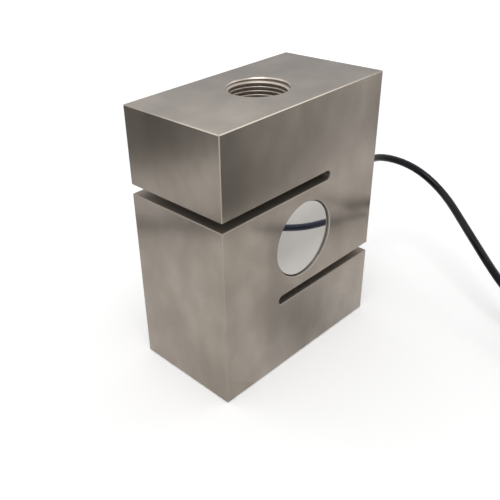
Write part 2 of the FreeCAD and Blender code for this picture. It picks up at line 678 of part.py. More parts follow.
CABLE_ROUTE = [
    (76, 0, 70),
    (92, 0, 70),
    (116.5, 5, 67.5),
    (135.5, -9, 58.5),
    (135, -32, 47.5),
    (114.5, -60.5, 38),
    (98, -87.5, 26),
    (91.5, -102.8, 20),
    (84.5, -110.9, 17.1),
    (80, -118.7, 16.75),
]
COIL_CENTRE = (97.6, -149.7)
COIL_LEAVES_AT = 330    # degrees round the coil from +X, where the bottom turn runs out
STUB = 18               # how far the coil's two ends run before they are free of its turns
TIE_ANGLES = (60, 240)
TAIL_ROUTE = [(10, 0, 0), (20, 1, -0.5), (30, 3, -0.5)]    # ahead, to the right and up
LEAD_NAMES = ("lead_red", "lead_black", "lead_green", "lead_white")
LEAD_LENGTHS = (31, 28, 30, 26)
LEAD_BENDS = (8, 21)    # along a lead, where it drops and where it reaches its level
LEAD_FAN = (3.6, 7.2)   # between neighbouring leads, at the second bend and at their ends
LEAD_GAP = 0.1          # between the leads where they leave the jacket
LEAD_SPREAD = 1.1       # the leads' heights there, over the cores' own
DRAIN_LENGTH = 30
DRAIN_BENDS = (10, 20)
DRAIN_SWING = 0.5       # how far the drain wire swings to the left at its second bend


def coil_ring(grow=0.0):
    """The section of the bundle of turns, its corners cut at 45 degrees, lifted by the tie under it."""
    low = size("tie") - grow
    wide = size("coil_bundle") + 2 * grow
    corner = (2 - math.sqrt(2)) * (size("cable") / 2 + grow)
    inner = size("coil_mid") - wide / 2
    outer, high = inner + wide, low + wide
    section = [(inner + corner, low), (outer - corner, low), (outer, low + corner),
               (outer, high - corner), (outer - corner, high), (inner + corner, high),
               (inner, high - corner), (inner, low + corner)]
    points = [Vec(radius, 0, level) for radius, level in section]
    return Part.Face(Part.makePolygon(points + points[:1]))


def coil_axis():
    return Vec(COIL_CENTRE[0], COIL_CENTRE[1], 0)


def outer_turn():
    """Radius of the outermost turns' centre line."""
    return size("coil_mid") + size("coil_bundle") / 2 - size("cable") / 2


def coil_exit():
    """Where the bottom turn leaves the coil, and which way it runs."""
    angle = math.radians(COIL_LEAVES_AT)
    low = size("tie") + size("cable") / 2
    spot = coil_axis() + Vec(outer_turn() * math.cos(angle), outer_turn() * math.sin(angle), low)
    return spot, Vec(-math.sin(angle), math.cos(angle), 0)


def tail_points():
    """The tail runs on from the coil along the floor, bending a little to the right."""
    spot, ahead = coil_exit()
    right = ahead.cross(Vec(0, 0, 1))
    start = spot + ahead * STUB
    return [start] + [start + ahead * along + right * aside + Vec(0, 0, up) for along, aside, up in TAIL_ROUTE]


def make_coil():
    """The coil with the two ends that lead into and out of it, its ties, and the tail."""
    ring = coil_ring()
    ring.translate(coil_axis())
    solid = ring.revolve(coil_axis(), Vec(0, 0, 1), 360)
    route = [Vec(*point) for point in CABLE_ROUTE]
    into = (route[-1] - route[-2]).normalize()
    spot, ahead = coil_exit()
    radius = size("cable") / 2
    lead_in = Part.makeCylinder(radius, STUB, route[-1], into)
    lead_out = Part.makeCylinder(radius, STUB, spot, ahead)
    keep_shape("cable_coil", solid.fuse([lead_in, lead_out]))

    for number, angle in enumerate(TIE_ANGLES, start=1):
        band = coil_ring(size("tie"))
        span = math.degrees(size("tie_width") / size("coil_mid"))
        band.rotate(Vec(0, 0, 0), Vec(0, 0, 1), angle - span / 2)
        band.translate(coil_axis())
        tie = band.revolve(coil_axis(), Vec(0, 0, 1), span).cut(solid)
        keep_shape("coil_tie_%d" % number, tie)

    keep_shape("cable", bent_tube(route, size("cable"), "cable"))
    keep_shape("cable_tail", bent_tube(tail_points(), size("cable"), "cable_tail"))


def make_stripped_end():
    """The shrink sleeve, the four leads with their tinned ends, and the screen's drain wire."""
    *_, before, end = tail_points()
    ahead = (end - before).normalize()
    across = Vec(0, 0, 1).cross(ahead)
    sleeve_start = end - ahead * size("sleeve_grip")
    inner = size("cable") / 2
    sleeve = Part.makeCylinder(inner + size("sleeve_wall"), size("sleeve_length"), sleeve_start, ahead)
    hole = Part.makeCylinder(inner, size("sleeve_length"), sleeve_start, ahead)
    keep_shape("end_sleeve", sleeve.cut(hole))

    tips = []
    foot = Vec(end.x, end.y, size("core") / 2)
    for number, (name, (out, up), length) in enumerate(zip(LEAD_NAMES, CORE_PLACES, LEAD_LENGTHS)):
        order = number - (len(LEAD_NAMES) - 1) / 2
        root = end + across * (out + LEAD_GAP * order) + Vec(0, 0, up * LEAD_SPREAD)
        points = [root,
                  root + ahead * LEAD_BENDS[0],
                  foot + ahead * LEAD_BENDS[1] + across * LEAD_FAN[0] * order,
                  foot + ahead * length + across * LEAD_FAN[1] * order]
        keep_shape(name, thin_wire(points, size("core")))
        last = (points[-1] - points[-2]).normalize()
        tips.append(Part.makeCylinder(size("tip") / 2, size("tip_length"), points[-1], last))
    keep_shape("lead_tips", Part.makeCompound(tips))

    root = end - Vec(0, 0, inner - 0.6 * size("tip"))
    low = Vec(end.x, end.y, size("tip") / 2)
    drain = [root,
             root + ahead * DRAIN_BENDS[0],
             low + ahead * DRAIN_BENDS[1] - across * DRAIN_SWING,
             low + ahead * DRAIN_LENGTH + across]
    keep_shape("drain_wire", thin_wire(drain, size("tip")))


# ---------------------------------------------------------------- build, check and write

make_spring_body()
for side in ("front", "rear"):
    make_cover(side)
    make_sealant(side)
    make_gauge(side)
    make_board(side)
make_resistor("zero_balance_resistor", ZERO_BALANCE_PLACE)
make_resistor("span_resistor", SPAN_PLACE)
make_cores()
make_jumpers()
make_gland()
make_cable_inner()
make_coil()
make_stripped_end()
doc.recompute()

for item in doc.Objects:
    if "Invalid" in item.State or "Error" in item.State:
        raise RuntimeError("%s did not compute: %s" % (item.Label, item.State))
for label, item in parts.items():
    if item.Shape.isNull() or not item.Shape.isValid():
        raise RuntimeError("%s has no valid shape" % label)
for label, item in parts.items():
    item.Shape.exportStep("parts/%s.step" % label)
    print("%-24s solids %d  volume %10.2f" % (label, len(item.Shape.Solids), item.Shape.Volume))
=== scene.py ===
# %% [markdown]
# # An S-type load cell
# The real object is one block of nickel-plated steel, sawn into an S so that it flexes a little under
# load. Strain gauges sit on a thin web behind two polished discs, and a black cable carries their
# signal. The solids come from CAD and stay as they are; this script dresses them: finishes for every
# piece, the threads in the end holes, the cable with its coil, the ties, and a plain studio.

# %% Load the frame
import math

import bpy
from mathutils import Matrix, Vector


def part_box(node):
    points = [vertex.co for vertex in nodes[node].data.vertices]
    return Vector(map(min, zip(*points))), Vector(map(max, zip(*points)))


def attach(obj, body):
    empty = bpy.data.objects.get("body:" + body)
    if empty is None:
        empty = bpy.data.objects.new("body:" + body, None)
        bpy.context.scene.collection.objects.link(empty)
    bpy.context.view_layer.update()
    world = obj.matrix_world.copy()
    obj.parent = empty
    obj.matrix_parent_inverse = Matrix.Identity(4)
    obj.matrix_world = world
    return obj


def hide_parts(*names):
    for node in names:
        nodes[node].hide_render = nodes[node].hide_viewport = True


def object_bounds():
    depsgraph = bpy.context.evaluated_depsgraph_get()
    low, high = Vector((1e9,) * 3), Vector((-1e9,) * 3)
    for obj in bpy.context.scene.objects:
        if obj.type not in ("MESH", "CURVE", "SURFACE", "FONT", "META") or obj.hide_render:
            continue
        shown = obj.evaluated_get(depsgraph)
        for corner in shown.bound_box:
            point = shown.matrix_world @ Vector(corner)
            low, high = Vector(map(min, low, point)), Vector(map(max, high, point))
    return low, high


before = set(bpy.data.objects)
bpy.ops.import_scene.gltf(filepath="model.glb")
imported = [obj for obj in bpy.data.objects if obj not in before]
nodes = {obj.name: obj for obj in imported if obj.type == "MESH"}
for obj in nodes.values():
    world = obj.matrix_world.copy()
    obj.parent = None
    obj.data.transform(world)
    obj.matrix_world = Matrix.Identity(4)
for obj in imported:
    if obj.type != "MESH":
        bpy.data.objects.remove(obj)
cad_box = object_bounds()
body_low, body_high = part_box("spring_body")
body_size = body_high - body_low
middle = (body_low + body_high) / 2
print("spring body, metres:", [round(side, 4) for side in body_size])

# %% [markdown]
# ## The camera
# The block is seen from its front left, from above, with a slight tilt. A camera in Blender looks down
# its own -Z axis, so its turn is built from plain angles: a heading round the vertical, a dip below
# the horizon and a roll. The sensor is Blender's usual 36 mm, so the lens sets the field of view.
# Lens shift slides the view without turning the camera, which keeps the perspective as it is.

# %% Camera
CAMERA_PLACE = Vector((-0.22215, -0.20193, 0.23059))
CAMERA_HEADING = math.radians(49.01)     # from +X towards +Y
CAMERA_DIP = math.radians(30.91)
CAMERA_ROLL = math.radians(3.556)
CAMERA_LENS = 46.82                      # millimetres
CAMERA_SHIFT = (0.1150, 0.0065)
UPRIGHT = math.pi / 2


def make_camera():
    """Adds the camera and makes it the scene's own."""
    data = bpy.data.cameras.new("camera")
    data.lens = CAMERA_LENS
    data.shift_x, data.shift_y = CAMERA_SHIFT
    camera = bpy.data.objects.new("camera", data)
    level = Matrix.Rotation(CAMERA_HEADING - UPRIGHT, 4, "Z") @ Matrix.Rotation(UPRIGHT, 4, "X")
    dip = Matrix.Rotation(-CAMERA_DIP, 4, "X")
    roll = Matrix.Rotation(-CAMERA_ROLL, 4, "Z")
    camera.matrix_world = Matrix.Translation(CAMERA_PLACE) @ level @ dip @ roll
    bpy.context.scene.collection.objects.link(camera)
    bpy.context.scene.camera = camera
    return camera


camera = make_camera()
looks_along = camera.matrix_world.to_3x3() @ Vector((0, 0, -1))
print("camera looks along", [round(part, 3) for part in looks_along])

# %% [markdown]
# ## The cable
# A signal cable is a fixed length of something springy, so one smooth curve carries all of it: out of
# the gland, down to the floor, round the coil that takes up the spare length, and on to the stripped
# end. A NURBS curve of order three runs smoothly through the pull of a few given points.
# Only the coil's turns are worked out by a loop, because they repeat.

# %% Cable route, in metres
CABLE = 0.0045
CABLE_ROUTE = [
    (0.076, 0, 0.070),
    (0.092, 0, 0.070),
    (0.1165, 0.005, 0.0675),
    (0.1355, -0.009, 0.0585),
    (0.135, -0.032, 0.0475),
    (0.1145, -0.0605, 0.038),
    (0.098, -0.0875, 0.026),
    (0.0915, -0.1028, 0.020),
    (0.0845, -0.1109, 0.0171),
    (0.080, -0.1187, 0.01675),
]
COIL_CENTRE = Vector((0.0976, -0.1497, 0))
COIL_ENTRY = math.radians(150)
OUTER_TURN = 0.03075
COIL_COLUMNS, COIL_LAYERS = 4, 4
COIL_TOP = 0.01675
STUB = 0.018                # straight off the coil, before the tail
TAIL_ROUTE = [(0, 0, 0), (0.010, 0, 0), (0.020, 0.001, -0.0005), (0.030, 0.003, -0.0005)]

# %% [markdown]
# ### The coil's turns
# The coil is four layers of four turns, wound from the top down. All the turns of a layer step over to
# the next column within one short sector, and the drop to the next layer comes just ahead of that
# sector, so that the turns lie a diameter apart all round. A smooth NURBS circle runs a little inside
# its control points, so the points stand out by that much.

# %% Coil
STEPS_PER_TURN = 24
STEP = 2 * math.pi / STEPS_PER_TURN
STAND_OUT = 1 / (0.75 + 0.25 * math.cos(STEP))
FIRST_SHIFT = 18            # where the top layer's turns step over
SHIFT_STEPS, DROP_STEPS = 6, 4
LEAVES_AT = 12


def coil_places():
    """Column and layer at each step round the coil, as fractions where the cable moves over."""
    places = [(0, 0)]

    def hold(sector):
        while (len(places) - 1) % STEPS_PER_TURN != sector % STEPS_PER_TURN:
            places.append(places[-1])

    def move(steps, columns, layers):
        column, layer = places[-1]
        for step in range(1, steps + 1):
            share = step / steps
            eased = share * share * (3 - 2 * share)
            places.append((column + columns * eased, layer + layers * eased))

    for layer in range(COIL_LAYERS):
        sector = FIRST_SHIFT - (SHIFT_STEPS + DROP_STEPS) * layer
        for _ in range(COIL_COLUMNS - 1):
            hold(sector)
            move(SHIFT_STEPS, 1 if layer % 2 == 0 else -1, 0)
        if layer < COIL_LAYERS - 1:
            hold(sector - DROP_STEPS)
            move(DROP_STEPS, 0, 1)
    hold(LEAVES_AT)
    return places


def round_coil(angle, radius, height):
    """A place round the coil's axis."""
    return COIL_CENTRE + Vector((radius * math.cos(angle), radius * math.sin(angle), height))


def coil_points():
    """The coil's control points, from the side that the cable enters at."""
    points = []
    for step, (column, layer) in enumerate(coil_places()):
        angle = COIL_ENTRY + step * STEP
        radius = (OUTER_TURN - CABLE * column) * STAND_OUT
        points.append(round_coil(angle, radius, COIL_TOP - CABLE * layer))
    return points


def tail_points():
    """Off the bottom of the coil and along the floor to the end of the jacket."""
    angle = COIL_ENTRY + LEAVES_AT * STEP
    low = COIL_TOP - CABLE * (COIL_LAYERS - 1)
    ahead = Vector((-math.sin(angle), math.cos(angle), 0))
    right = ahead.cross(Vector((0, 0, 1)))
    start = round_coil(angle, OUTER_TURN, low) + ahead * STUB
    return [start + ahead * along + right * aside + Vector((0, 0, up))
            for along, aside, up in TAIL_ROUTE]


def smooth_cord(name, points, diameter, steps=5):
    """One NURBS curve with a round section: a bevel of one metre, times each point's own radius."""
    curve = bpy.data.curves.new(name, "CURVE")
    curve.dimensions = "3D"
    curve.bevel_depth = 1
    curve.bevel_resolution = 4
    curve.resolution_u = steps
    curve.use_fill_caps = True
    spline = curve.splines.new("NURBS")
    spline.points.add(len(points) - 1)
    for place, point in zip(spline.points, points):
        place.co = (*point, 1)
        place.radius = diameter / 2
    spline.order_u = 3
    spline.use_endpoint_u = True
    cord = bpy.data.objects.new(name, curve)
    bpy.context.scene.collection.objects.link(cord)
    return cord


cable = smooth_cord("signal_cable", CABLE_ROUTE + coil_points() + tail_points(), CABLE)
print("coil:", round(len(coil_places()) / STEPS_PER_TURN, 1), "turns, ends in column and layer",
      coil_places()[-1])

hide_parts("cable", "cable_coil", "cable_tail")
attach(cable, "root")

# %% [markdown]
# ## The studio
# The product stands on a pale floor in soft light from all round. The floor reaches far enough that its
# edge never shows. The world is white to the camera and in reflections, and a softer grey as a light,
# so the background is clean while the object keeps its own tones. The floor adds a little white of its
# own where it is looked at, straight or in a mirror, which leaves the shadow in place.

# %% Starting a piece
def added(operator, name, **settings):
    """Adds a primitive with nothing else selected, and names it."""
    bpy.ops.object.select_all(action="DESELECT")
    operator(**settings)
    piece = bpy.context.active_object
    piece.name = name
    return piece


def bake_place():
    """Writes the selected pieces' place, turn and size into their meshes."""
    bpy.ops.object.transform_apply(location=True, rotation=True, scale=True)


print("pieces from CAD:", len(nodes))

# %% Node helpers
def new_material(name):
    """An empty node material."""
    material = bpy.data.materials.new(name)
    material.use_nodes = True
    material.node_tree.nodes.clear()
    return material


def add_node(tree, kind, **settings):
    """Adds a node and sets its inputs or properties by name."""
    node = tree.nodes.new(kind)
    for key, value in settings.items():
        if key in node.inputs:
            node.inputs[key].default_value = value
        else:
            setattr(node, key, value)
    return node


def link(tree, source, target):
    """Joins an output to an input, each given as a node and a socket name or number."""
    tree.links.new(source[0].outputs[source[1]], target[0].inputs[target[1]])


def calculate(tree, operation, *values):
    """A Math node on numbers or on pairs of node and socket."""
    node = add_node(tree, "ShaderNodeMath", operation=operation)
    for number, value in enumerate(values):
        if isinstance(value, tuple):
            link(tree, value, (node, number))
        else:
            node.inputs[number].default_value = value
    return (node, 0)


def show(tree, source, kind="ShaderNodeOutputMaterial"):
    """Joins a shader to the output that the surface is drawn from."""
    link(tree, source, (add_node(tree, kind), "Surface"))


def span(tree, source, from_low, from_high, to_low=0, to_high=1, curve="LINEAR"):
    """A value carried over from one range to another, and held at its ends."""
    node = add_node(tree, "ShaderNodeMapRange", interpolation_type=curve,
                    **{"From Min": from_low, "From Max": from_high, "To Min": to_low, "To Max": to_high})
    link(tree, source, (node, "Value"))
    return (node, "Result")


def seen_by(tree, first, *others):
    """One for the kinds of ray named, and nought for the rest."""
    rays = add_node(tree, "ShaderNodeLightPath")
    seen = (rays, first)
    for other in others:
        seen = calculate(tree, "MAXIMUM", seen, (rays, other))
    return seen


def mapped(tree, coordinates, **settings):
    """The piece's own coordinates, moved, turned or drawn out."""
    mapping = add_node(tree, "ShaderNodeMapping", **settings)
    link(tree, (coordinates, "Object"), (mapping, "Vector"))
    return (mapping, "Vector")


def away_from(tree, source):
    """How far a place is from the middle of its coordinates."""
    length = add_node(tree, "ShaderNodeVectorMath", operation="LENGTH")
    link(tree, source, (length, "Vector"))
    return (length, "Value")


def parts(tree, source):
    """The X, Y and Z of a place, as outputs 0, 1 and 2 of the node."""
    split = add_node(tree, "ShaderNodeSeparateXYZ")
    link(tree, source, (split, "Vector"))
    return split


def ramp(tree, source, stops):
    """A colour ramp after a factor; stops are pairs of place and colour or grey."""
    node = add_node(tree, "ShaderNodeValToRGB")
    link(tree, source, (node, "Fac"))
    elements = node.color_ramp.elements
    while len(elements) < len(stops):
        elements.new(0.5)
    for element, (place, tone) in zip(elements, stops):
        element.position = place
        element.color = (*tone, 1) if isinstance(tone, tuple) else (tone, tone, tone, 1)
    return (node, "Color")


WHITE = (1, 1, 1, 1)
print("materials so far:", len(bpy.data.materials))

# %% Floor
FLOOR_REACH = 3.0
FLOOR_DROP = 0.0002
FLOOR_TONE = 0.93
FLOOR_LIFT = 0.23           # near the object
FLOOR_LIFT_FAR = 0.60       # where the floor has run out to the background
LIFT_FROM, LIFT_TO = 0.25, 1.0


def make_floor():
    """A wide pale disc under the object; where it is seen it is lighter, and white far out."""
    floor = added(bpy.ops.mesh.primitive_circle_add, "studio_floor", vertices=96, radius=FLOOR_REACH,
                  fill_type="NGON", location=(0, 0, cad_box[0].z - FLOOR_DROP))
    material = new_material("studio_floor")
    tree = material.node_tree
    diffuse = add_node(tree, "ShaderNodeBsdfDiffuse", Color=(FLOOR_TONE, FLOOR_TONE, FLOOR_TONE, 1))
    lift = add_node(tree, "ShaderNodeEmission", Color=WHITE)
    away = away_from(tree, (add_node(tree, "ShaderNodeTexCoord"), "Object"))
    amount = span(tree, away, LIFT_FROM, LIFT_TO, FLOOR_LIFT, FLOOR_LIFT_FAR, "SMOOTHSTEP")
    seen = seen_by(tree, "Is Camera Ray", "Is Glossy Ray")
    link(tree, calculate(tree, "MULTIPLY", seen, amount), (lift, "Strength"))
    both = add_node(tree, "ShaderNodeAddShader")
    link(tree, (diffuse, "BSDF"), (both, 0))
    link(tree, (lift, "Emission"), (both, 1))
    show(tree, (both, 0))
    floor.data.materials.append(material)
    return floor


floor = make_floor()
print("floor at", round(floor.location.z, 4), "m, radius", FLOOR_REACH)

# %% World
WORLD_LIGHT = 0.55


def make_world():
    """White where it is seen or mirrored, a softer grey where it lights."""
    world = bpy.data.worlds.new("studio")
    world.use_nodes = True
    bpy.context.scene.world = world
    tree = world.node_tree
    tree.nodes.clear()
    light = add_node(tree, "ShaderNodeBackground", Color=WHITE, Strength=WORLD_LIGHT)
    white = add_node(tree, "ShaderNodeBackground", Color=WHITE, Strength=1.0)
    mix = add_node(tree, "ShaderNodeMixShader")
    link(tree, seen_by(tree, "Is Camera Ray", "Is Glossy Ray", "Is Transmission Ray"), (mix, "Fac"))
    link(tree, (light, "Background"), (mix, 1))
    link(tree, (white, "Background"), (mix, 2))
    show(tree, (mix, "Shader"), "ShaderNodeOutputWorld")


make_world()
print("world light", WORLD_LIGHT)

# %% [markdown]
# ### Lamps
# Broad softboxes give soft edges to the shadows. On metal a lamp is also something to be mirrored: the
# one above the camera lights the countersink, and the two at the sides put a thin bright line on the
# block's broken edges.

# %% Softboxes
def add_softbox(name, place, side, power, target=(0, 0, 0.07)):
    """A square area lamp turned towards the object."""
    data = bpy.data.lights.new(name, "AREA")
    data.size = side
    data.energy = power
    lamp = bpy.data.objects.new(name, data)
    lamp.location = place
    lamp.rotation_euler = (Vector(target) - Vector(place)).to_track_quat("-Z", "Y").to_euler()
    bpy.context.scene.collection.objects.link(lamp)
    return lamp


add_softbox("softbox_above", (-0.1, 0.3, 1.4), 1.2, 2.2)
add_softbox("softbox_top", (-0.24, -0.22, 1.3), 0.6, 4.2)
add_softbox("softbox_right", (0.84, -0.36, 0.90), 0.35, 0.65)
add_softbox("softbox_left", (-0.36, 0.78, 0.98), 0.35, 0.5)
print("lamps:", [item.name for item in bpy.data.lights])

# %% [markdown]
# ### Cards
# Bare metal shows its surroundings, so a photographer shapes it with cards as much as with lamps. Dark
# cards lie where the left face and the front face mirror the floor, and fade them, a grey one stands
# far behind for the top, and a soft shade lies before the foot. Two more lie over the coil and keep its
# image out of the front face. A pale card lies in front of the polished disc, and a thin dark tube over
# it stands in for a cable that crosses the mirror. Only mirrored rays see any of these, so they belong
# to the studio and not to the piece.

# %% Cards
def hide_from_all_but_mirrors(item):
    """The item shows in reflections alone, and casts no shadow."""
    for ray in ("camera", "diffuse", "transmission", "volume_scatter", "shadow"):
        setattr(item, "visible_" + ray, False)


def glow(tree, tone):
    """Shows a tone as it is, whatever light falls on it."""
    light = add_node(tree, "ShaderNodeEmission", Strength=1.0)
    link(tree, tone, (light, "Color"))
    show(tree, (light, "Emission"))


def card_material(name, stops, low=0.0, high=1.0, turn=0.0):
    """An even glow whose tone may change along one direction, turned from +X by the angle given."""
    material = new_material(name)
    tree = material.node_tree
    turned = mapped(tree, add_node(tree, "ShaderNodeTexCoord"), vector_type="TEXTURE",
                    Rotation=(0, 0, math.radians(turn)))
    tone = ramp(tree, span(tree, (parts(tree, turned), "X"), low, high), stops)
    glow(tree, tone)
    return material


def foot_shade(centre, turn, reach):
    """A soft shade that fades into the floor's own tone all round."""
    material = new_material("foot_shade")
    tree = material.node_tree
    moved = mapped(tree, add_node(tree, "ShaderNodeTexCoord"), vector_type="TEXTURE",
                   Location=centre, Rotation=(0, 0, math.radians(turn)), Scale=reach)
    tone = ramp(tree, away_from(tree, moved), [(0.15, 0.55), (1.0, PALE)])
    glow(tree, tone)
    return material


def add_card(name, centre, across, along, material, turn, stand):
    """A flat card: its centre, sides, finish, turn round the vertical and tilt out of the level."""
    card = added(bpy.ops.mesh.primitive_plane_add, name, size=1, location=centre,
                 rotation=(math.radians(stand), 0, math.radians(turn)))
    card.scale = (across, along, 1)
    bake_place()
    card.data.materials.append(material)
    hide_from_all_but_mirrors(card)


# %% The cards' tones and places
PALE = 0.96                                     # as the floor is seen
FOOT, FOOT_TURN, FOOT_REACH = (0.022, -0.045, 0.0008), -38.5, (0.060, 0.030, 1)
LOW, OVER_COIL = 0.001, 0.024                   # heights of the cards
LEFT_TONES = [(0.0, 0.26), (0.54, 0.32), (0.77, 0.56), (0.88, 0.80), (1.0, PALE)]
FRONT_TONES = [(0.0, 0.20), (0.17, 0.34), (0.36, 0.55), (0.52, 0.66), (1.0, 0.70)]

left_card = card_material("left_card", LEFT_TONES, low=-0.40, high=-0.27, turn=-62.6)
front_card = card_material("front_card", FRONT_TONES, low=-0.071, high=0.071, turn=45)
black_card = card_material("black_card", [(0.0, 0.02), (1.0, 0.02)])
floor_card = card_material("floor_card", [(0.0, PALE), (1.0, PALE)])
back_card = card_material("back_card", [(0.0, 0.50), (1.0, 0.55)])
disc_card = card_material("disc_card", [(0.0, (1.0, 0.99, 0.97)), (0.35, (0.80, 0.79, 0.78)),
                                        (0.62, (0.80, 0.79, 0.78)), (0.85, (0.96, 0.955, 0.945))],
                          low=-0.100, high=-0.045, turn=90)
foot_card = foot_shade(FOOT, FOOT_TURN, FOOT_REACH)
CARDS = (
    ("card_left", (-0.50, 0.51, LOW), 0.80, 0.78, left_card, 0, 0),
    ("card_left_strip", (-0.158, 0.130, LOW), 0.14, 0.019, black_card, 51, 0),
    ("card_front", (0.28, -0.384, LOW), 0.50, 0.432, front_card, 0, 0),
    ("card_over_coil_near", (0.060, -0.1135, OVER_COIL), 0.100, 0.037, floor_card, 0, 0),
    ("card_over_coil_far", (0.100, -0.1535, OVER_COIL), 0.110, 0.043, front_card, 0, 0),
    ("card_foot", FOOT, 0.110, 0.076, foot_card, FOOT_TURN, 0),
    ("card_back", (1.0, 0.80, 0.27), 1.8, 0.54, back_card, -51, 90),
    ("card_disc", (0.055, -0.072, 0.033), 0.092, 0.066, disc_card, 0, 0),
)
for card in CARDS:
    add_card(*card)
print("cards:", [card[0] for card in CARDS])

# %% The dark strip
STRIP_ROUTE = [(0.036, -0.0975, 0.036), (0.0499, -0.0816, 0.036), (0.0561, -0.0753, 0.036),
               (0.0636, -0.0710, 0.036), (0.0726, -0.0678, 0.036), (0.086, -0.0638, 0.036),
               (0.0971, -0.0583, 0.036)]
STRIP = 0.0042
THIN_POINTS, THIN_SHARE = 2, 0.55               # it runs out thinner past the disc


def add_dark_strip():
    """A thin glossy tube over the pale card, seen as a line across the polished disc."""
    strip = smooth_cord("dark_strip", STRIP_ROUTE, STRIP)
    for point in strip.data.splines[0].points[-THIN_POINTS:]:
        point.radius *= THIN_SHARE
    material = new_material("dark_strip")
    tree = material.node_tree
    shader = add_node(tree, "ShaderNodeBsdfPrincipled", **{"Base Color": (0.018, 0.026, 0.065, 1),
                                                           "Roughness": 0.25})
    show(tree, (shader, "BSDF"))
    strip.data.materials.append(material)
    hide_from_all_but_mirrors(strip)


add_dark_strip()
print("dark strip:", round(1000 * STRIP, 1), "mm thick")

# %% [markdown]
# ## Finishes
# Every finish is built from the same few nodes: noise on the object's own coordinates, drawn out along
# an axis where the real surface has a grain, and colour ramps that turn the noise into a tone or a
# roughness. Nothing is a flat colour, and nothing depends on where the camera stands.

# %% Noise, ramps and shaders
def clouds(tree, coordinates, scale, detail=3, stretch=(1, 1, 1)):
    """Noise on the object's own coordinates; stretch draws it out along an axis."""
    noise = add_node(tree, "ShaderNodeTexNoise", Scale=scale, Detail=detail)
    link(tree, mapped(tree, coordinates, Scale=stretch), (noise, "Vector"))
    return (noise, "Fac")


def principled(tree, **settings):
    """A Principled shader with its output joined."""
    shader = add_node(tree, "ShaderNodeBsdfPrincipled", **settings)
    show(tree, (shader, "BSDF"))
    return shader


def begin(name, **settings):
    """A new finish: the material, its tree, the piece's own coordinates and the shader."""
    material = new_material(name)
    tree = material.node_tree
    return material, tree, add_node(tree, "ShaderNodeTexCoord"), principled(tree, **settings)


def blend_colours(tree, factor, first, second):
    """A colour mix of two sources, or of a source and a fixed colour."""
    node = add_node(tree, "ShaderNodeMix", data_type="RGBA")
    link(tree, factor, (node, 0))
    for number, value in ((6, first), (7, second)):
        if isinstance(value[0], float):
            node.inputs[number].default_value = (*value, 1)
        else:
            link(tree, value, (node, number))
    return (node, 2)


# %% Dressing a CAD node
def dress(material, *names):
    """Gives CAD nodes a finish in place of the one that they came with."""
    for name in names:
        node = nodes[name]
        for slot in node.material_slots:
            slot.material = material
        if not node.material_slots:
            node.data.materials.append(material)
    print(material.name, "on", ", ".join(names))


# %% [markdown]
# ## Ground steel
# The block is ground flat and plated with dull nickel. It has no paint, so its tone is all reflection:
# a metal shader with a low roughness, a warm grey colour that drifts in soft clouds, and fine
# grinding lines that only the roughness shows. The corners of the block are broken and rubbed, and
# they are lighter, as wear and as a painted highlight: the mask takes each axis, measures how near
# the surface is to that pair of faces, and keeps the places that are near to two of them at once.
# Where a tool has cut below the ground faces the steel is rougher, and its colour holds painted shade
# in the saw slots and painted light in the bored recesses and the threaded holes. Those places are
# found by where they lie, since the block is one piece with one material.

# %% Worn edges, with a painted highlight
EDGE_WIDTH = 0.0004


def near_edges(tree, coordinates):
    """One on the block's outer edges and nought a short way from them."""
    split = parts(tree, (coordinates, "Object"))
    near = []
    for axis in range(3):
        offset = calculate(tree, "SUBTRACT", (split, axis), middle[axis])
        outwards = calculate(tree, "ABSOLUTE", offset)
        depth = calculate(tree, "SUBTRACT", body_size[axis] / 2, outwards)
        near.append(span(tree, depth, EDGE_WIDTH, EDGE_WIDTH / 2))
    pairs = [calculate(tree, "MULTIPLY", near[first], near[second])
             for first, second in ((0, 1), (1, 2), (2, 0))]
    return calculate(tree, "MAXIMUM", calculate(tree, "MAXIMUM", pairs[0], pairs[1]), pairs[2])


print("worn edges are", 1000 * EDGE_WIDTH, "mm wide")

# %% Sawn slots
SLOT_OFFSET = 0.0283
SLOT_GAP = 0.00475
SLOT_LIP = 0.00042          # the broken edge of a slot's lip
SKIN = 0.0001               # what still counts as the outer face


def inside_slots(tree, coordinates):
    """One on the walls of the two saw slots: at their heights, and under the outer faces."""
    split = parts(tree, (coordinates, "Object"))
    height = calculate(tree, "ABSOLUTE", calculate(tree, "SUBTRACT", (split, 2), middle.z))
    from_slot = calculate(tree, "ABSOLUTE", calculate(tree, "SUBTRACT", height, SLOT_OFFSET))
    inside = calculate(tree, "LESS_THAN", from_slot, SLOT_GAP / 2 + SLOT_LIP)
    for axis in (0, 1):
        outwards = calculate(tree, "ABSOLUTE", (split, axis))
        under = calculate(tree, "LESS_THAN", outwards, body_size[axis] / 2 - SKIN)
        inside = calculate(tree, "MULTIPLY", inside, under)
    return inside


print("slots at", [round(middle.z + side * SLOT_OFFSET, 4) for side in (-1, 1)], "m")

# %% Bored recesses and threaded holes
ACROSS_COVERS = (1, 0, 1)   # what is left of a place when it is looked at along the covers' axis
ACROSS_MOUNTS = (1, 1, 0)   # and along the axis of the threaded holes
COVER_REACH = 0.0203        # just outside the bored wall round a cover
MOUNT_REACH = 0.0159        # just outside the countersink of a threaded hole


def inside_bore(tree, coordinates, across, depth_axis, radius):
    """One on the walls round one of the block's axes, nought on the outer face and elsewhere."""
    reach = away_from(tree, mapped(tree, coordinates, Location=(0, 0, -middle.z * across[2]),
                                   Scale=across))
    split = parts(tree, (coordinates, "Object"))
    from_middle = calculate(tree, "SUBTRACT", (split, depth_axis), middle[depth_axis])
    outwards = calculate(tree, "ABSOLUTE", from_middle)
    under = calculate(tree, "LESS_THAN", outwards, body_size[depth_axis] / 2 - SKIN)
    return calculate(tree, "MULTIPLY", calculate(tree, "LESS_THAN", reach, radius), under)


print("recesses within", COVER_REACH, "m, threaded holes within", MOUNT_REACH, "m of their axes")

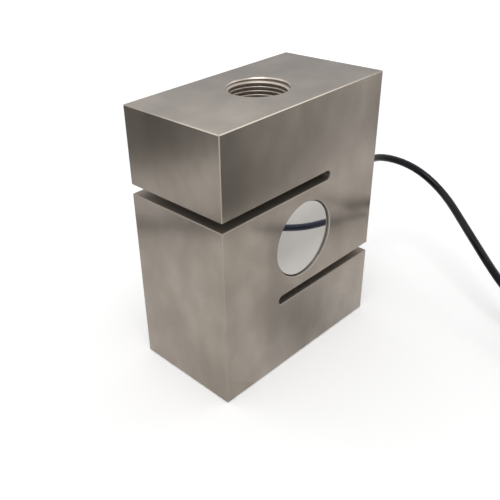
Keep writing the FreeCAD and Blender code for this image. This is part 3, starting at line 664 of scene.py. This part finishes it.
# %% Ground nickel steel
STEEL_DARK, STEEL_MIDDLE = (0.275, 0.238, 0.200), (0.335, 0.293, 0.250)
STEEL_LIGHT = (0.395, 0.350, 0.302)
GROUND_ROUGH = (0.165, 0.205)
SMUDGE, SMUDGE_SHARE = (0.185, 0.162, 0.138), 0.34
# the edges' lighter tone is wear and a painted highlight
WORN_STEEL_PAINTED_HIGHLIGHT = (0.335, 0.302, 0.265)
# painted shade in the saw slots, painted light in the bored recesses and threaded holes
SAWN_STEEL_PAINTED_SHADE, SAWN_ROUGH = (0.30, 0.265, 0.23), 0.55
BORED_STEEL_PAINTED_LIGHT, BORED_ROUGH = (0.44, 0.405, 0.365), 0.45
CUT_STEEL_PAINTED_LIGHT, CUT_ROUGH = (0.46, 0.41, 0.365), 0.38


def ground_steel():
    """Warm grey metal with clouds, smudges and worn edges with a painted highlight; duller where a tool
    has cut into it, with painted shade in the saw slots and painted light in the recesses and threaded
    holes.
    """
    material, tree, place, shader = begin("ground_nickel_steel", Metallic=1.0)
    drift = clouds(tree, place, 22, detail=5)
    tone = ramp(tree, drift, [(0.34, STEEL_DARK), (0.52, STEEL_MIDDLE), (0.70, STEEL_LIGHT)])
    smoke = clouds(tree, place, 62, detail=4, stretch=(1, 1, 0.55))
    shade = ramp(tree, smoke, [(0.36, 0.0), (0.66, 1.0)])
    soft = calculate(tree, "MULTIPLY", shade, SMUDGE_SHARE)
    colour = blend_colours(tree, soft, tone, SMUDGE)
    colour = blend_colours(tree, near_edges(tree, place), colour, WORN_STEEL_PAINTED_HIGHLIGHT)
    lines = clouds(tree, place, 90, detail=3, stretch=(1, 1, 26))
    gloss = ramp(tree, lines, [(0.25, GROUND_ROUGH[0]), (0.75, GROUND_ROUGH[1])])
    # each cut place gets its tone and roughness: painted shade in the slots, painted light in the bores
    for mask, bare, rough in (
            (inside_slots(tree, place), SAWN_STEEL_PAINTED_SHADE, SAWN_ROUGH),
            (inside_bore(tree, place, ACROSS_COVERS, 1, COVER_REACH), BORED_STEEL_PAINTED_LIGHT, BORED_ROUGH),
            (inside_bore(tree, place, ACROSS_MOUNTS, 2, MOUNT_REACH), CUT_STEEL_PAINTED_LIGHT, CUT_ROUGH)):
        colour = blend_colours(tree, mask, colour, bare)
        gloss = calculate(tree, "MAXIMUM", gloss, calculate(tree, "MULTIPLY", mask, rough))
    link(tree, colour, (shader, "Base Color"))
    link(tree, gloss, (shader, "Roughness"))
    return material


steel = ground_steel()
dress(steel, "spring_body")

# %% [markdown]
# ## The threaded holes
# Both end holes carry an M30 thread of 2 mm pitch. The CAD holes are plain, so a helical ridge is added
# to each. A screw is the textbook use of the Screw modifier: one small section, a plane narrowed to the
# ridge's shape, is swept round and up at once. The ends are closed, so that the ridge is a solid.

# %% Helpers for modelling
def edit_all():
    """Goes to edit mode with the whole mesh selected."""
    bpy.ops.object.mode_set(mode="EDIT")
    bpy.ops.mesh.select_all(action="SELECT")


def choose(piece, kind, wanted):
    """Selects the vertices, edges or faces that satisfy a test, and goes to edit mode."""
    bpy.ops.object.mode_set(mode="EDIT")
    bpy.ops.mesh.select_mode(type=kind)
    bpy.ops.mesh.select_all(action="DESELECT")
    bpy.ops.object.mode_set(mode="OBJECT")
    for item in getattr(piece.data, {"VERT": "vertices", "EDGE": "edges", "FACE": "polygons"}[kind]):
        item.select = wanted(item)
    bpy.ops.object.mode_set(mode="EDIT")


def joined(pieces):
    """Makes pieces one, under the first one's name."""
    bpy.ops.object.select_all(action="DESELECT")
    for piece in pieces:
        piece.select_set(True)
    bpy.context.view_layer.objects.active = pieces[0]
    bpy.ops.object.join()
    return pieces[0]


def close_and_smooth(angle):
    """Ends edit mode: holes closed, faces outwards, edges softer than the angle smooth."""
    bpy.ops.mesh.select_all(action="SELECT")
    bpy.ops.mesh.fill_holes(sides=0)
    bpy.ops.mesh.select_all(action="SELECT")
    bpy.ops.mesh.normals_make_consistent(inside=False)
    bpy.ops.object.mode_set(mode="OBJECT")
    bpy.ops.object.shade_smooth_by_angle(angle=math.radians(angle))


print("modelling starts with", len(bpy.data.meshes), "meshes")

# %% Thread ridge
TURN_STEPS = 56
ROOT_SHARE, CREST_SHARE = 0.86, 0.30        # widths of the ridge at its root and crest, of the pitch
CREST_ROUNDING = 0.12                       # of the pitch
SAME_PLACE = 1e-6


def thread_ridge(name, root, crest, pitch, start, turns, rising, first_angle):
    """A helical ridge from its root's radius to its crest's, from start on, upwards or downwards."""
    wide = ROOT_SHARE * pitch
    depth = abs(root - crest)
    level = start + wide / 2 * (1 if rising else -1)
    ridge = added(bpy.ops.mesh.primitive_plane_add, name, size=1,
                  location=((root + crest) / 2, 0, level), rotation=(UPRIGHT, 0, 0))
    ridge.scale = (depth, wide, 1)
    bake_place()
    choose(ridge, "VERT", lambda vertex: abs(vertex.co.x - crest) < depth / 4)
    bpy.ops.transform.resize(value=(1, 1, CREST_SHARE / ROOT_SHARE), center_override=(crest, 0, level))
    bpy.ops.mesh.bevel(affect="VERTICES", offset=CREST_ROUNDING * pitch, segments=3)
    bpy.ops.mesh.select_all(action="SELECT")
    bpy.ops.transform.rotate(value=-first_angle, orient_axis="Z", center_override=(0, 0, 0))
    bpy.ops.mesh.delete(type="ONLY_FACE")
    bpy.ops.object.mode_set(mode="OBJECT")
    screw = ridge.modifiers.new("screw", "SCREW")
    screw.screw_offset = pitch if rising else -pitch
    screw.angle = 2 * math.pi if rising else -2 * math.pi
    screw.iterations = turns
    screw.steps = screw.render_steps = TURN_STEPS
    screw.use_merge_vertices = False
    bpy.ops.object.modifier_apply(modifier="screw")
    edit_all()
    bpy.ops.mesh.remove_doubles(threshold=SAME_PLACE)
    close_and_smooth(40)
    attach(ridge, "root")
    print(name, turns, "turns,", len(ridge.data.polygons), "faces")
    return ridge


# %% M30 threads
THREAD_ROOT, THREAD_CREST, THREAD_PITCH = 0.01502, 0.0139, 0.002
THREAD_TURNS = 18
MOUTH = 0.0006              # plain bore before the thread starts
THREAD_START = math.radians(223)

for name, start, rising in (("top_thread_ridge", body_high.z - MOUTH, False),
                            ("bottom_thread_ridge", body_low.z + MOUTH, True)):
    ridge = thread_ridge(name, THREAD_ROOT, THREAD_CREST, THREAD_PITCH, start, THREAD_TURNS, rising,
                         THREAD_START)
    ridge.data.materials.append(steel)

# %% [markdown]
# ## Polished discs
# The two discs that close the gauge cavities are lapped to a mirror. They are the one sharp reflection
# on the object. A very low roughness does it, with a faint drift in the tone so that the mirror looks
# like metal and not like glass, and hardly visible turning rings round the disc's own centre.

# %% Polished steel
def polished_steel():
    """A mirror of steel whose tone drifts faintly, with turning rings that can hardly be seen."""
    material, tree, place, shader = begin("polished_steel", Metallic=1.0)
    drift = clouds(tree, place, 45)
    tone = ramp(tree, drift, [(0.3, (0.50, 0.485, 0.465)), (0.7, (0.56, 0.545, 0.525))])
    link(tree, tone, (shader, "Base Color"))
    rings = add_node(tree, "ShaderNodeTexWave", wave_type="RINGS", rings_direction="Y", Scale=300,
                     Distortion=2)
    link(tree, mapped(tree, place, Location=(0, 0, -middle.z)), (rings, "Vector"))
    gloss = ramp(tree, (rings, "Fac"), [(0.0, 0.030), (1.0, 0.036)])
    link(tree, gloss, (shader, "Roughness"))
    return material


dress(polished_steel(), "front_cover", "rear_cover")

# %% [markdown]
# ## Plainer finishes
# Plastics, rubber and small metal parts share one recipe: a tone that drifts between two colours, a
# roughness that drifts with it, and a fine bump where the real surface has a grain. The numbers are
# each material's own.

# %% The shared recipe
GRAIN_DEPTH = 0.00005
FINER = 6                   # how much finer the bump is than the drift


def finish(name, dark, light, rough, grain, metallic=0.0, bump=0.0, stretch=(1, 1, 1), **fixed):
    """A material whose tone and roughness drift together over noise of one grain size."""
    material, tree, place, shader = begin(name, Metallic=metallic, **fixed)
    drift = clouds(tree, place, grain, stretch=stretch)
    tone = ramp(tree, drift, [(0.32, dark), (0.68, light)])
    link(tree, tone, (shader, "Base Color"))
    gloss = ramp(tree, drift, [(0.3, rough[0]), (0.7, rough[1])])
    link(tree, gloss, (shader, "Roughness"))
    if bump:
        relief = add_node(tree, "ShaderNodeBump", Strength=bump, Distance=GRAIN_DEPTH)
        fine = clouds(tree, place, grain * FINER, stretch=stretch)
        link(tree, fine, (relief, "Height"))
        link(tree, (relief, "Normal"), (shader, "Normal"))
    return material


# %% Outside pieces
LESS_SHINE = {"Specular IOR Level": 0.18}

jacket = finish("black_cable_jacket", (0.0022, 0.0026, 0.0050), (0.0042, 0.0048, 0.0080),
                (0.13, 0.18), 400, bump=0.08, **LESS_SHINE)
cable.data.materials.append(jacket)
dress(jacket, "cable_inner")
sealant = finish("dark_sealant", (0.010, 0.009, 0.009), (0.030, 0.028, 0.026), (0.45, 0.65), 900,
                 bump=0.5)
dress(sealant, "front_sealant_ring", "rear_sealant_ring")
plated_brass = finish("nickel_plated_brass", (0.50, 0.475, 0.43), (0.62, 0.595, 0.545),
                      (0.16, 0.26), 260, metallic=1.0, bump=0.15)
dress(plated_brass, "gland_body", "gland_nut")
rubber = finish("black_rubber", (0.010, 0.010, 0.010), (0.024, 0.023, 0.022), (0.60, 0.78), 700,
                bump=0.6)
dress(rubber, "gland_washer", "gland_seal")

# %% Wires and cores
INSULATION = {
    "red": ((0.42, 0.012, 0.012), (0.52, 0.022, 0.018)),
    "black": ((0.010, 0.010, 0.011), (0.018, 0.018, 0.019)),
    "green": ((0.012, 0.16, 0.035), (0.020, 0.22, 0.050)),
    "white": ((0.66, 0.66, 0.63), (0.76, 0.76, 0.73)),
}
insulation = {}
for colour, (dark, light) in INSULATION.items():
    insulation[colour] = finish("insulation_" + colour, dark, light, (0.34, 0.44), 500, bump=0.2)
    dress(insulation[colour], "core_" + colour)
tinned = finish("tinned_copper", (0.58, 0.56, 0.53), (0.74, 0.72, 0.69), (0.24, 0.38), 900,
                metallic=1.0, bump=0.3)
dress(finish("jumper_wire", (0.50, 0.30, 0.03), (0.62, 0.38, 0.05), (0.35, 0.45), 600), "bridge_jumpers")
dress(finish("gauge_lead_wire", (0.60, 0.57, 0.52), (0.72, 0.69, 0.64), (0.28, 0.40), 900, metallic=1.0),
      "front_gauge_leads", "rear_gauge_leads")

# %% [markdown]
# ### The gauges inside
# Behind each disc a strain gauge is bonded to the web: amber film, a grid of dull foil, and a soft
# milky coating. A small green terminal board joins the gauge to the cable's cores. None of it can be
# seen while the discs are on, and it gets its finishes all the same.

# %% Gauge and board finishes
dress(finish("polyimide_film", (0.42, 0.17, 0.02), (0.56, 0.25, 0.04), (0.18, 0.28), 350,
             **{"Coat Weight": 0.3}), "front_gauge_backing", "rear_gauge_backing")
dress(finish("gauge_foil", (0.42, 0.34, 0.26), (0.54, 0.45, 0.36), (0.32, 0.46), 1200, metallic=1.0,
             stretch=(1, 1, 8)), "front_gauge_foil", "rear_gauge_foil")
dress(finish("soft_coating", (0.62, 0.60, 0.53), (0.74, 0.72, 0.66), (0.22, 0.34), 250, bump=0.2,
             **{"Transmission Weight": 0.35}), "front_gauge_coating", "rear_gauge_coating")


def circuit_board():
    """Green laminate: the weave of the glass cloth shows as a fine square pattern under the varnish."""
    material = finish("circuit_board", (0.012, 0.10, 0.030), (0.025, 0.16, 0.050), (0.25, 0.38), 300)
    tree = material.node_tree
    shader = next(node for node in tree.nodes if node.type == "BSDF_PRINCIPLED")
    place = next(node for node in tree.nodes if node.type == "TEX_COORD")
    waves = []
    for direction in ("X", "Z"):
        weave = add_node(tree, "ShaderNodeTexWave", bands_direction=direction, Scale=900)
        link(tree, (place, "Object"), (weave, "Vector"))
        waves.append((weave, "Fac"))
    relief = add_node(tree, "ShaderNodeBump", Strength=0.3, Distance=0.00003)
    link(tree, calculate(tree, "ADD", *waves), (relief, "Height"))
    link(tree, (relief, "Normal"), (shader, "Normal"))
    return material


dress(circuit_board(), "front_terminal_board", "rear_terminal_board")


CHIP_BODY = 0.34            # from the chip's middle to its caps, of its length


def chip_resistor(node):
    """Black glaze with a tinned cap at each end, by the distance from the chip's middle."""
    low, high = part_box(node)
    material, tree, place, shader = begin("chip_resistor")
    split = parts(tree, (place, "Object"))
    offset = calculate(tree, "ABSOLUTE", calculate(tree, "SUBTRACT", (split, 0), (low.x + high.x) / 2))
    cap = calculate(tree, "GREATER_THAN", offset, (high.x - low.x) * CHIP_BODY)
    grain = clouds(tree, place, 1500)
    glaze = ramp(tree, grain, [(0.3, 0.008), (0.7, 0.020)])
    tin = ramp(tree, grain, [(0.3, 0.55), (0.7, 0.70)])
    link(tree, blend_colours(tree, cap, glaze, tin), (shader, "Base Color"))
    link(tree, cap, (shader, "Metallic"))
    gloss = ramp(tree, grain, [(0.3, 0.25), (0.7, 0.40)])
    link(tree, gloss, (shader, "Roughness"))
    return material


for chip in ("zero_balance_resistor", "span_resistor"):
    dress(chip_resistor(chip), chip)

# %% [markdown]
# ## The gland's thread
# Between the gland's hexagon and its nut a little of the neck shows, and it is threaded. The same
# ridge as in the end holes does it, this time outside its root, then turned to lie along the cable.

# %% Gland thread
NECK_RADIUS, NECK_PITCH = 0.0055, 0.0007
NECK_SUNK, NECK_RIDGE = 0.00002, 0.00035    # the ridge's foot inside the neck, and its height over it
NECK_FROM_BLOCK = 0.0056
neck_start = Vector((body_high.x + NECK_FROM_BLOCK, 0, middle.z))
neck_thread = thread_ridge("gland_neck_thread", NECK_RADIUS - NECK_SUNK, NECK_RADIUS + NECK_RIDGE,
                           NECK_PITCH, start=0, turns=1, rising=True, first_angle=0)
neck_thread.rotation_euler = (0, UPRIGHT, 0)
neck_thread.location = neck_start
bake_place()
neck_thread.data.materials.append(plated_brass)

# %% [markdown]
# ## The cable's end
# The far end of the cable is stripped for wiring: a heat-shrunk sleeve closes the jacket, four coloured
# cores and a bare drain wire come out of it, and the cores' ends are twisted and tinned. The cores are
# soft, so they are smooth curves in place of the CAD wires' straight runs.

# %% Where the end lies
CORE = 0.0012
BARE = 0.0008
CORE_PLACES = ((-0.00065, -0.00065), (-0.00065, 0.00065), (0.00065, -0.00065), (0.00065, 0.00065))
LEAD_COLOURS = tuple(INSULATION)
LEAD_LENGTHS = (0.031, 0.028, 0.030, 0.026)
LEAD_BENDS, LEAD_FAN = (0.008, 0.021), (0.6, 1.2)
LEAD_SPREAD = 0.006
ROOTS_APART, ROOTS_TALL = 0.0001, 1.1       # the cores part a little where they leave the jacket
DRAIN_BENDS, DRAIN_SWING = (0.010, 0.020, 0.030), (-0.0005, 0.001)
DRAIN_HEIGHT = 0.6                          # over the jacket's lowest line, of the wire's thickness
UP = Vector((0, 0, 1))
*_, before_end, jacket_end = tail_points()
ahead = (jacket_end - before_end).normalized()
across = UP.cross(ahead)


def lead_points(number):
    """One core from the jacket's end down to the floor, fanned out beside its neighbours."""
    out, up = CORE_PLACES[number]
    beside = number - (len(LEAD_COLOURS) - 1) / 2
    aside = LEAD_SPREAD * beside
    foot = Vector((jacket_end.x, jacket_end.y, CORE / 2))
    root = jacket_end + across * (out + ROOTS_APART * beside) + UP * up * ROOTS_TALL
    return [root,
            root + ahead * LEAD_BENDS[0],
            foot + ahead * LEAD_BENDS[1] + across * aside * LEAD_FAN[0],
            foot + ahead * LEAD_LENGTHS[number] + across * aside * LEAD_FAN[1]]


print("the jacket ends at", [round(part, 4) for part in jacket_end])

# %% Cores and drain wire
for number, colour in enumerate(LEAD_COLOURS):
    lead = smooth_cord("lead_wire_" + colour, lead_points(number), CORE, steps=8)
    lead.data.materials.append(insulation[colour])
    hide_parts("lead_" + colour)
    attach(lead, "root")
drain_root = jacket_end - UP * (CABLE / 2 - DRAIN_HEIGHT * BARE)
drain_foot = Vector((jacket_end.x, jacket_end.y, BARE / 2))
drain = smooth_cord("bare_drain_wire", [drain_root, drain_root + ahead * DRAIN_BENDS[0],
                                        drain_foot + ahead * DRAIN_BENDS[1] + across * DRAIN_SWING[0],
                                        drain_foot + ahead * DRAIN_BENDS[2] + across * DRAIN_SWING[1]],
                    BARE, steps=8)
drain.data.materials.append(tinned)
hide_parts("drain_wire")
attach(drain, "root")
print("leads fan out over", round(1000 * LEAD_SPREAD * 3 * LEAD_FAN[1], 1), "mm")

# %% [markdown]
# A tinned end is a few copper strands twisted together. A strand is a small circle swept round and
# along by the Screw modifier, each of the three a third of a turn on from the last, and each lead gets
# its own copy of the three.

# %% Twisted ends
TIP_LENGTH, TIP_SUNK = 0.005, 0.0005
STRANDS = 3
STRAND_RADIUS = 0.0002
STRANDS_TOUCH = 0.98        # of a radius, from the twist's axis
TWIST = 3 * math.pi


def twisted_end():
    """Three strands twisted round +Z, from the origin up."""
    strands = []
    for number in range(STRANDS):
        strand = added(bpy.ops.mesh.primitive_circle_add, "strand", vertices=10, radius=STRAND_RADIUS,
                       location=(STRAND_RADIUS * STRANDS_TOUCH, 0, 0), rotation=(UPRIGHT, 0, 0))
        bake_place()
        twist = strand.modifiers.new("twist", "SCREW")
        twist.screw_offset = TIP_LENGTH
        twist.angle = TWIST
        twist.steps = twist.render_steps = 40
        bpy.ops.object.modifier_apply(modifier="twist")
        edit_all()
        bpy.ops.transform.rotate(value=2 * math.pi * number / STRANDS, orient_axis="Z",
                                 center_override=(0, 0, 0))
        close_and_smooth(50)
        strands.append(strand)
    return joined(strands)


pattern = twisted_end()
ends = []
for number in range(len(LEAD_COLOURS)):
    end = pattern.copy()
    end.data = pattern.data.copy()
    bpy.context.scene.collection.objects.link(end)
    *_, before, last = lead_points(number)
    runs = (last - before).normalized()
    end.rotation_euler = (last - before).to_track_quat("Z", "Y").to_euler()
    end.location = last - UP * (CORE / 2 - 2 * STRAND_RADIUS) - runs * TIP_SUNK
    ends.append(end)
tips = joined(ends)
tips.name = "twisted_tips"
bake_place()
bpy.data.objects.remove(pattern)
tips.data.materials.append(tinned)
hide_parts("lead_tips")
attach(tips, "root")
print("twisted tips:", len(tips.data.polygons), "faces")

# %% [markdown]
# ### The shrink sleeve
# Heat-shrink grips the jacket, then closes down on the cores with a soft shoulder. It is a body of
# revolution, so it starts as a circle that is extruded ring by ring, each ring scaled to its radius.

# %% Shrink sleeve
SLEEVE_START = -0.0054
SLEEVE_PROFILE = [
    (0.0000, 0.00232), (0.0000, 0.00268), (0.0002, 0.00275), (0.0050, 0.00275), (0.0060, 0.00264),
    (0.0070, 0.00238), (0.0080, 0.00214), (0.0092, 0.00204), (0.0117, 0.00200), (0.0119, 0.00192),
    (0.0119, 0.00168), (0.0100, 0.00164),
]


def lathed(name, profile, sides):
    """A body round +Z whose rings are given as pairs of height and radius."""
    (height, radius), *rest = profile
    piece = added(bpy.ops.mesh.primitive_circle_add, name, vertices=sides, radius=radius,
                  location=(0, 0, height))
    bake_place()
    edit_all()
    for next_height, next_radius in rest:
        bpy.ops.mesh.extrude_edges_move(TRANSFORM_OT_translate={"value": (0, 0, next_height - height)})
        ratio = next_radius / radius
        bpy.ops.transform.resize(value=(ratio, ratio, 1), center_override=(0, 0, next_height))
        height, radius = next_height, next_radius
    close_and_smooth(50)
    return piece


sleeve = lathed("shrunk_sleeve", SLEEVE_PROFILE, 28)
sleeve.rotation_euler = ahead.to_track_quat("Z", "Y").to_euler()
sleeve.location = jacket_end + ahead * SLEEVE_START
bake_place()
sleeve.data.materials.append(finish("shrink_sleeve", (0.012, 0.012, 0.013), (0.024, 0.024, 0.026),
                                    (0.42, 0.58), 350, bump=0.5))
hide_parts("end_sleeve")
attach(sleeve, "root")
print("sleeve:", len(sleeve.data.polygons), "faces")

# %% [markdown]
# ## Cable ties
# Two nylon ties hold the coil. A tie is a strap round the bundle of turns, with a square head that the
# strap's cut end comes out of. The strap starts as a box round the bundle, its two open sides removed
# and its corners rounded, and Solidify gives it its thickness. The head is a box with the slot set
# into it, and the stub of the strap is a short box with its teeth raised across it.

# %% Boxes and their edges
BUNDLE = 0.0180
BUNDLE_MIDDLE = Vector((0.024, 0, 0.010))       # from the coil's axis, radially and up
STRAP_WIDTH, STRAP_THICK = 0.0048, 0.0010


def box(name, size, place):
    """A box of a given size at a given place, selected and ready to be shaped."""
    piece = added(bpy.ops.mesh.primitive_cube_add, name, size=1, location=place)
    piece.scale = size
    bake_place()
    return piece


def soften(piece, width, segments=2):
    """Rounds every sharp edge with an applied Bevel modifier."""
    bevel = piece.modifiers.new("bevel", "BEVEL")
    bevel.width = width
    bevel.segments = segments
    bevel.limit_method = "ANGLE"
    bevel.angle_limit = math.radians(40)
    bpy.context.view_layer.objects.active = piece
    bpy.ops.object.modifier_apply(modifier="bevel")


# %% The strap
def strap_loop():
    """The strap round the bundle: a box without its two open sides, its corners rounded."""
    outer = BUNDLE + 2 * STRAP_THICK
    strap = box("strap", (outer, STRAP_WIDTH, outer), BUNDLE_MIDDLE)
    choose(strap, "FACE", lambda face: abs(face.normal.y) > 0.9)
    bpy.ops.mesh.delete(type="FACE")

    def runs_across(edge):
        first, second = (strap.data.vertices[number].co for number in edge.vertices)
        return abs(first.y - second.y) > STRAP_WIDTH / 2

    choose(strap, "EDGE", runs_across)
    bpy.ops.mesh.bevel(offset=CABLE / 2 + STRAP_THICK, segments=6, affect="EDGES")
    bpy.ops.mesh.select_all(action="SELECT")
    bpy.ops.mesh.normals_make_consistent(inside=False)
    bpy.ops.object.mode_set(mode="OBJECT")
    thickness = strap.modifiers.new("thickness", "SOLIDIFY")
    thickness.thickness = STRAP_THICK
    thickness.offset = -1
    bpy.ops.object.modifier_apply(modifier="thickness")
    soften(strap, 0.0002)
    return strap


# %% The head and the strap's cut end
HEAD_SIZE, HEAD_RIM, SLOT_DEPTH = (0.0058, 0.0064, 0.0034), 0.0009, 0.0018
HEAD_ALONG = BUNDLE_MIDDLE.x + 0.004
HEAD_LEVEL = BUNDLE_MIDDLE.z + BUNDLE / 2 + STRAP_THICK + HEAD_SIZE[2] / 2 - STRAP_THICK * 0.8
STUB_SIZE, STUB_OUT = (0.0100, 0.0042, 0.0009), 0.0010
TOOTH_SIZE, TOOTH_COUNT = (0.0004, 0.0030, 0.0004), 4
FIRST_TOOTH, TOOTH_STEP, TOOTH_UP = 0.0034, 0.0008, 0.0006


def tie_head():
    """The square head, with the slot that the strap runs through."""
    head = box("head", HEAD_SIZE, (HEAD_ALONG, 0, HEAD_LEVEL))
    choose(head, "FACE", lambda face: face.normal.x > 0.9)
    bpy.ops.mesh.inset(thickness=HEAD_RIM)
    bpy.ops.mesh.extrude_region_move(TRANSFORM_OT_translate={"value": (-SLOT_DEPTH, 0, 0)})
    bpy.ops.object.mode_set(mode="OBJECT")
    soften(head, 0.0003)
    return head


def tie_stub():
    """What is left of the strap past the head, with its teeth."""
    stub = box("stub", STUB_SIZE, (HEAD_ALONG + STUB_OUT, 0, HEAD_LEVEL))
    teeth = [stub]
    for number in range(TOOTH_COUNT):
        along = HEAD_ALONG + FIRST_TOOTH + TOOTH_STEP * number
        tooth = box("tooth", TOOTH_SIZE, (along, 0, HEAD_LEVEL + TOOTH_UP))
        soften(tooth, 0.0001, segments=1)
        teeth.append(tooth)
    soften(stub, 0.0002)
    return teeth


# %% Whole ties
def cable_tie(name, angle, node):
    """One whole tie round the bundle at an angle round the coil."""
    tie = joined([strap_loop(), tie_head(), *tie_stub()])
    tie.name = name
    tie.rotation_euler = (0, 0, angle)
    tie.location = COIL_CENTRE
    bake_place()
    bpy.ops.object.shade_smooth_by_angle(angle=math.radians(35))
    tie.data.materials.append(nylon)
    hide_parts(node)
    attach(tie, "root")
    print(name, len(tie.data.polygons), "faces")
    return tie


nylon = finish("black_nylon", (0.009, 0.009, 0.010), (0.019, 0.019, 0.020), (0.38, 0.52), 600, bump=0.4)
TIE_ANGLES = (60, 240)
for number, angle in enumerate(TIE_ANGLES, start=1):
    cable_tie("cable_tie_%d" % number, math.radians(angle), "coil_tie_%d" % number)

# %% [markdown]
# ## The cable, and the view
# The cable stands for the CAD tube, the CAD coil and the CAD tail. The gland, the ties, the sleeve and
# the wires at its end go with it. Last, the view transform is set to Standard.

# %% Finish
bpy.context.scene.view_settings.view_transform = "Standard"
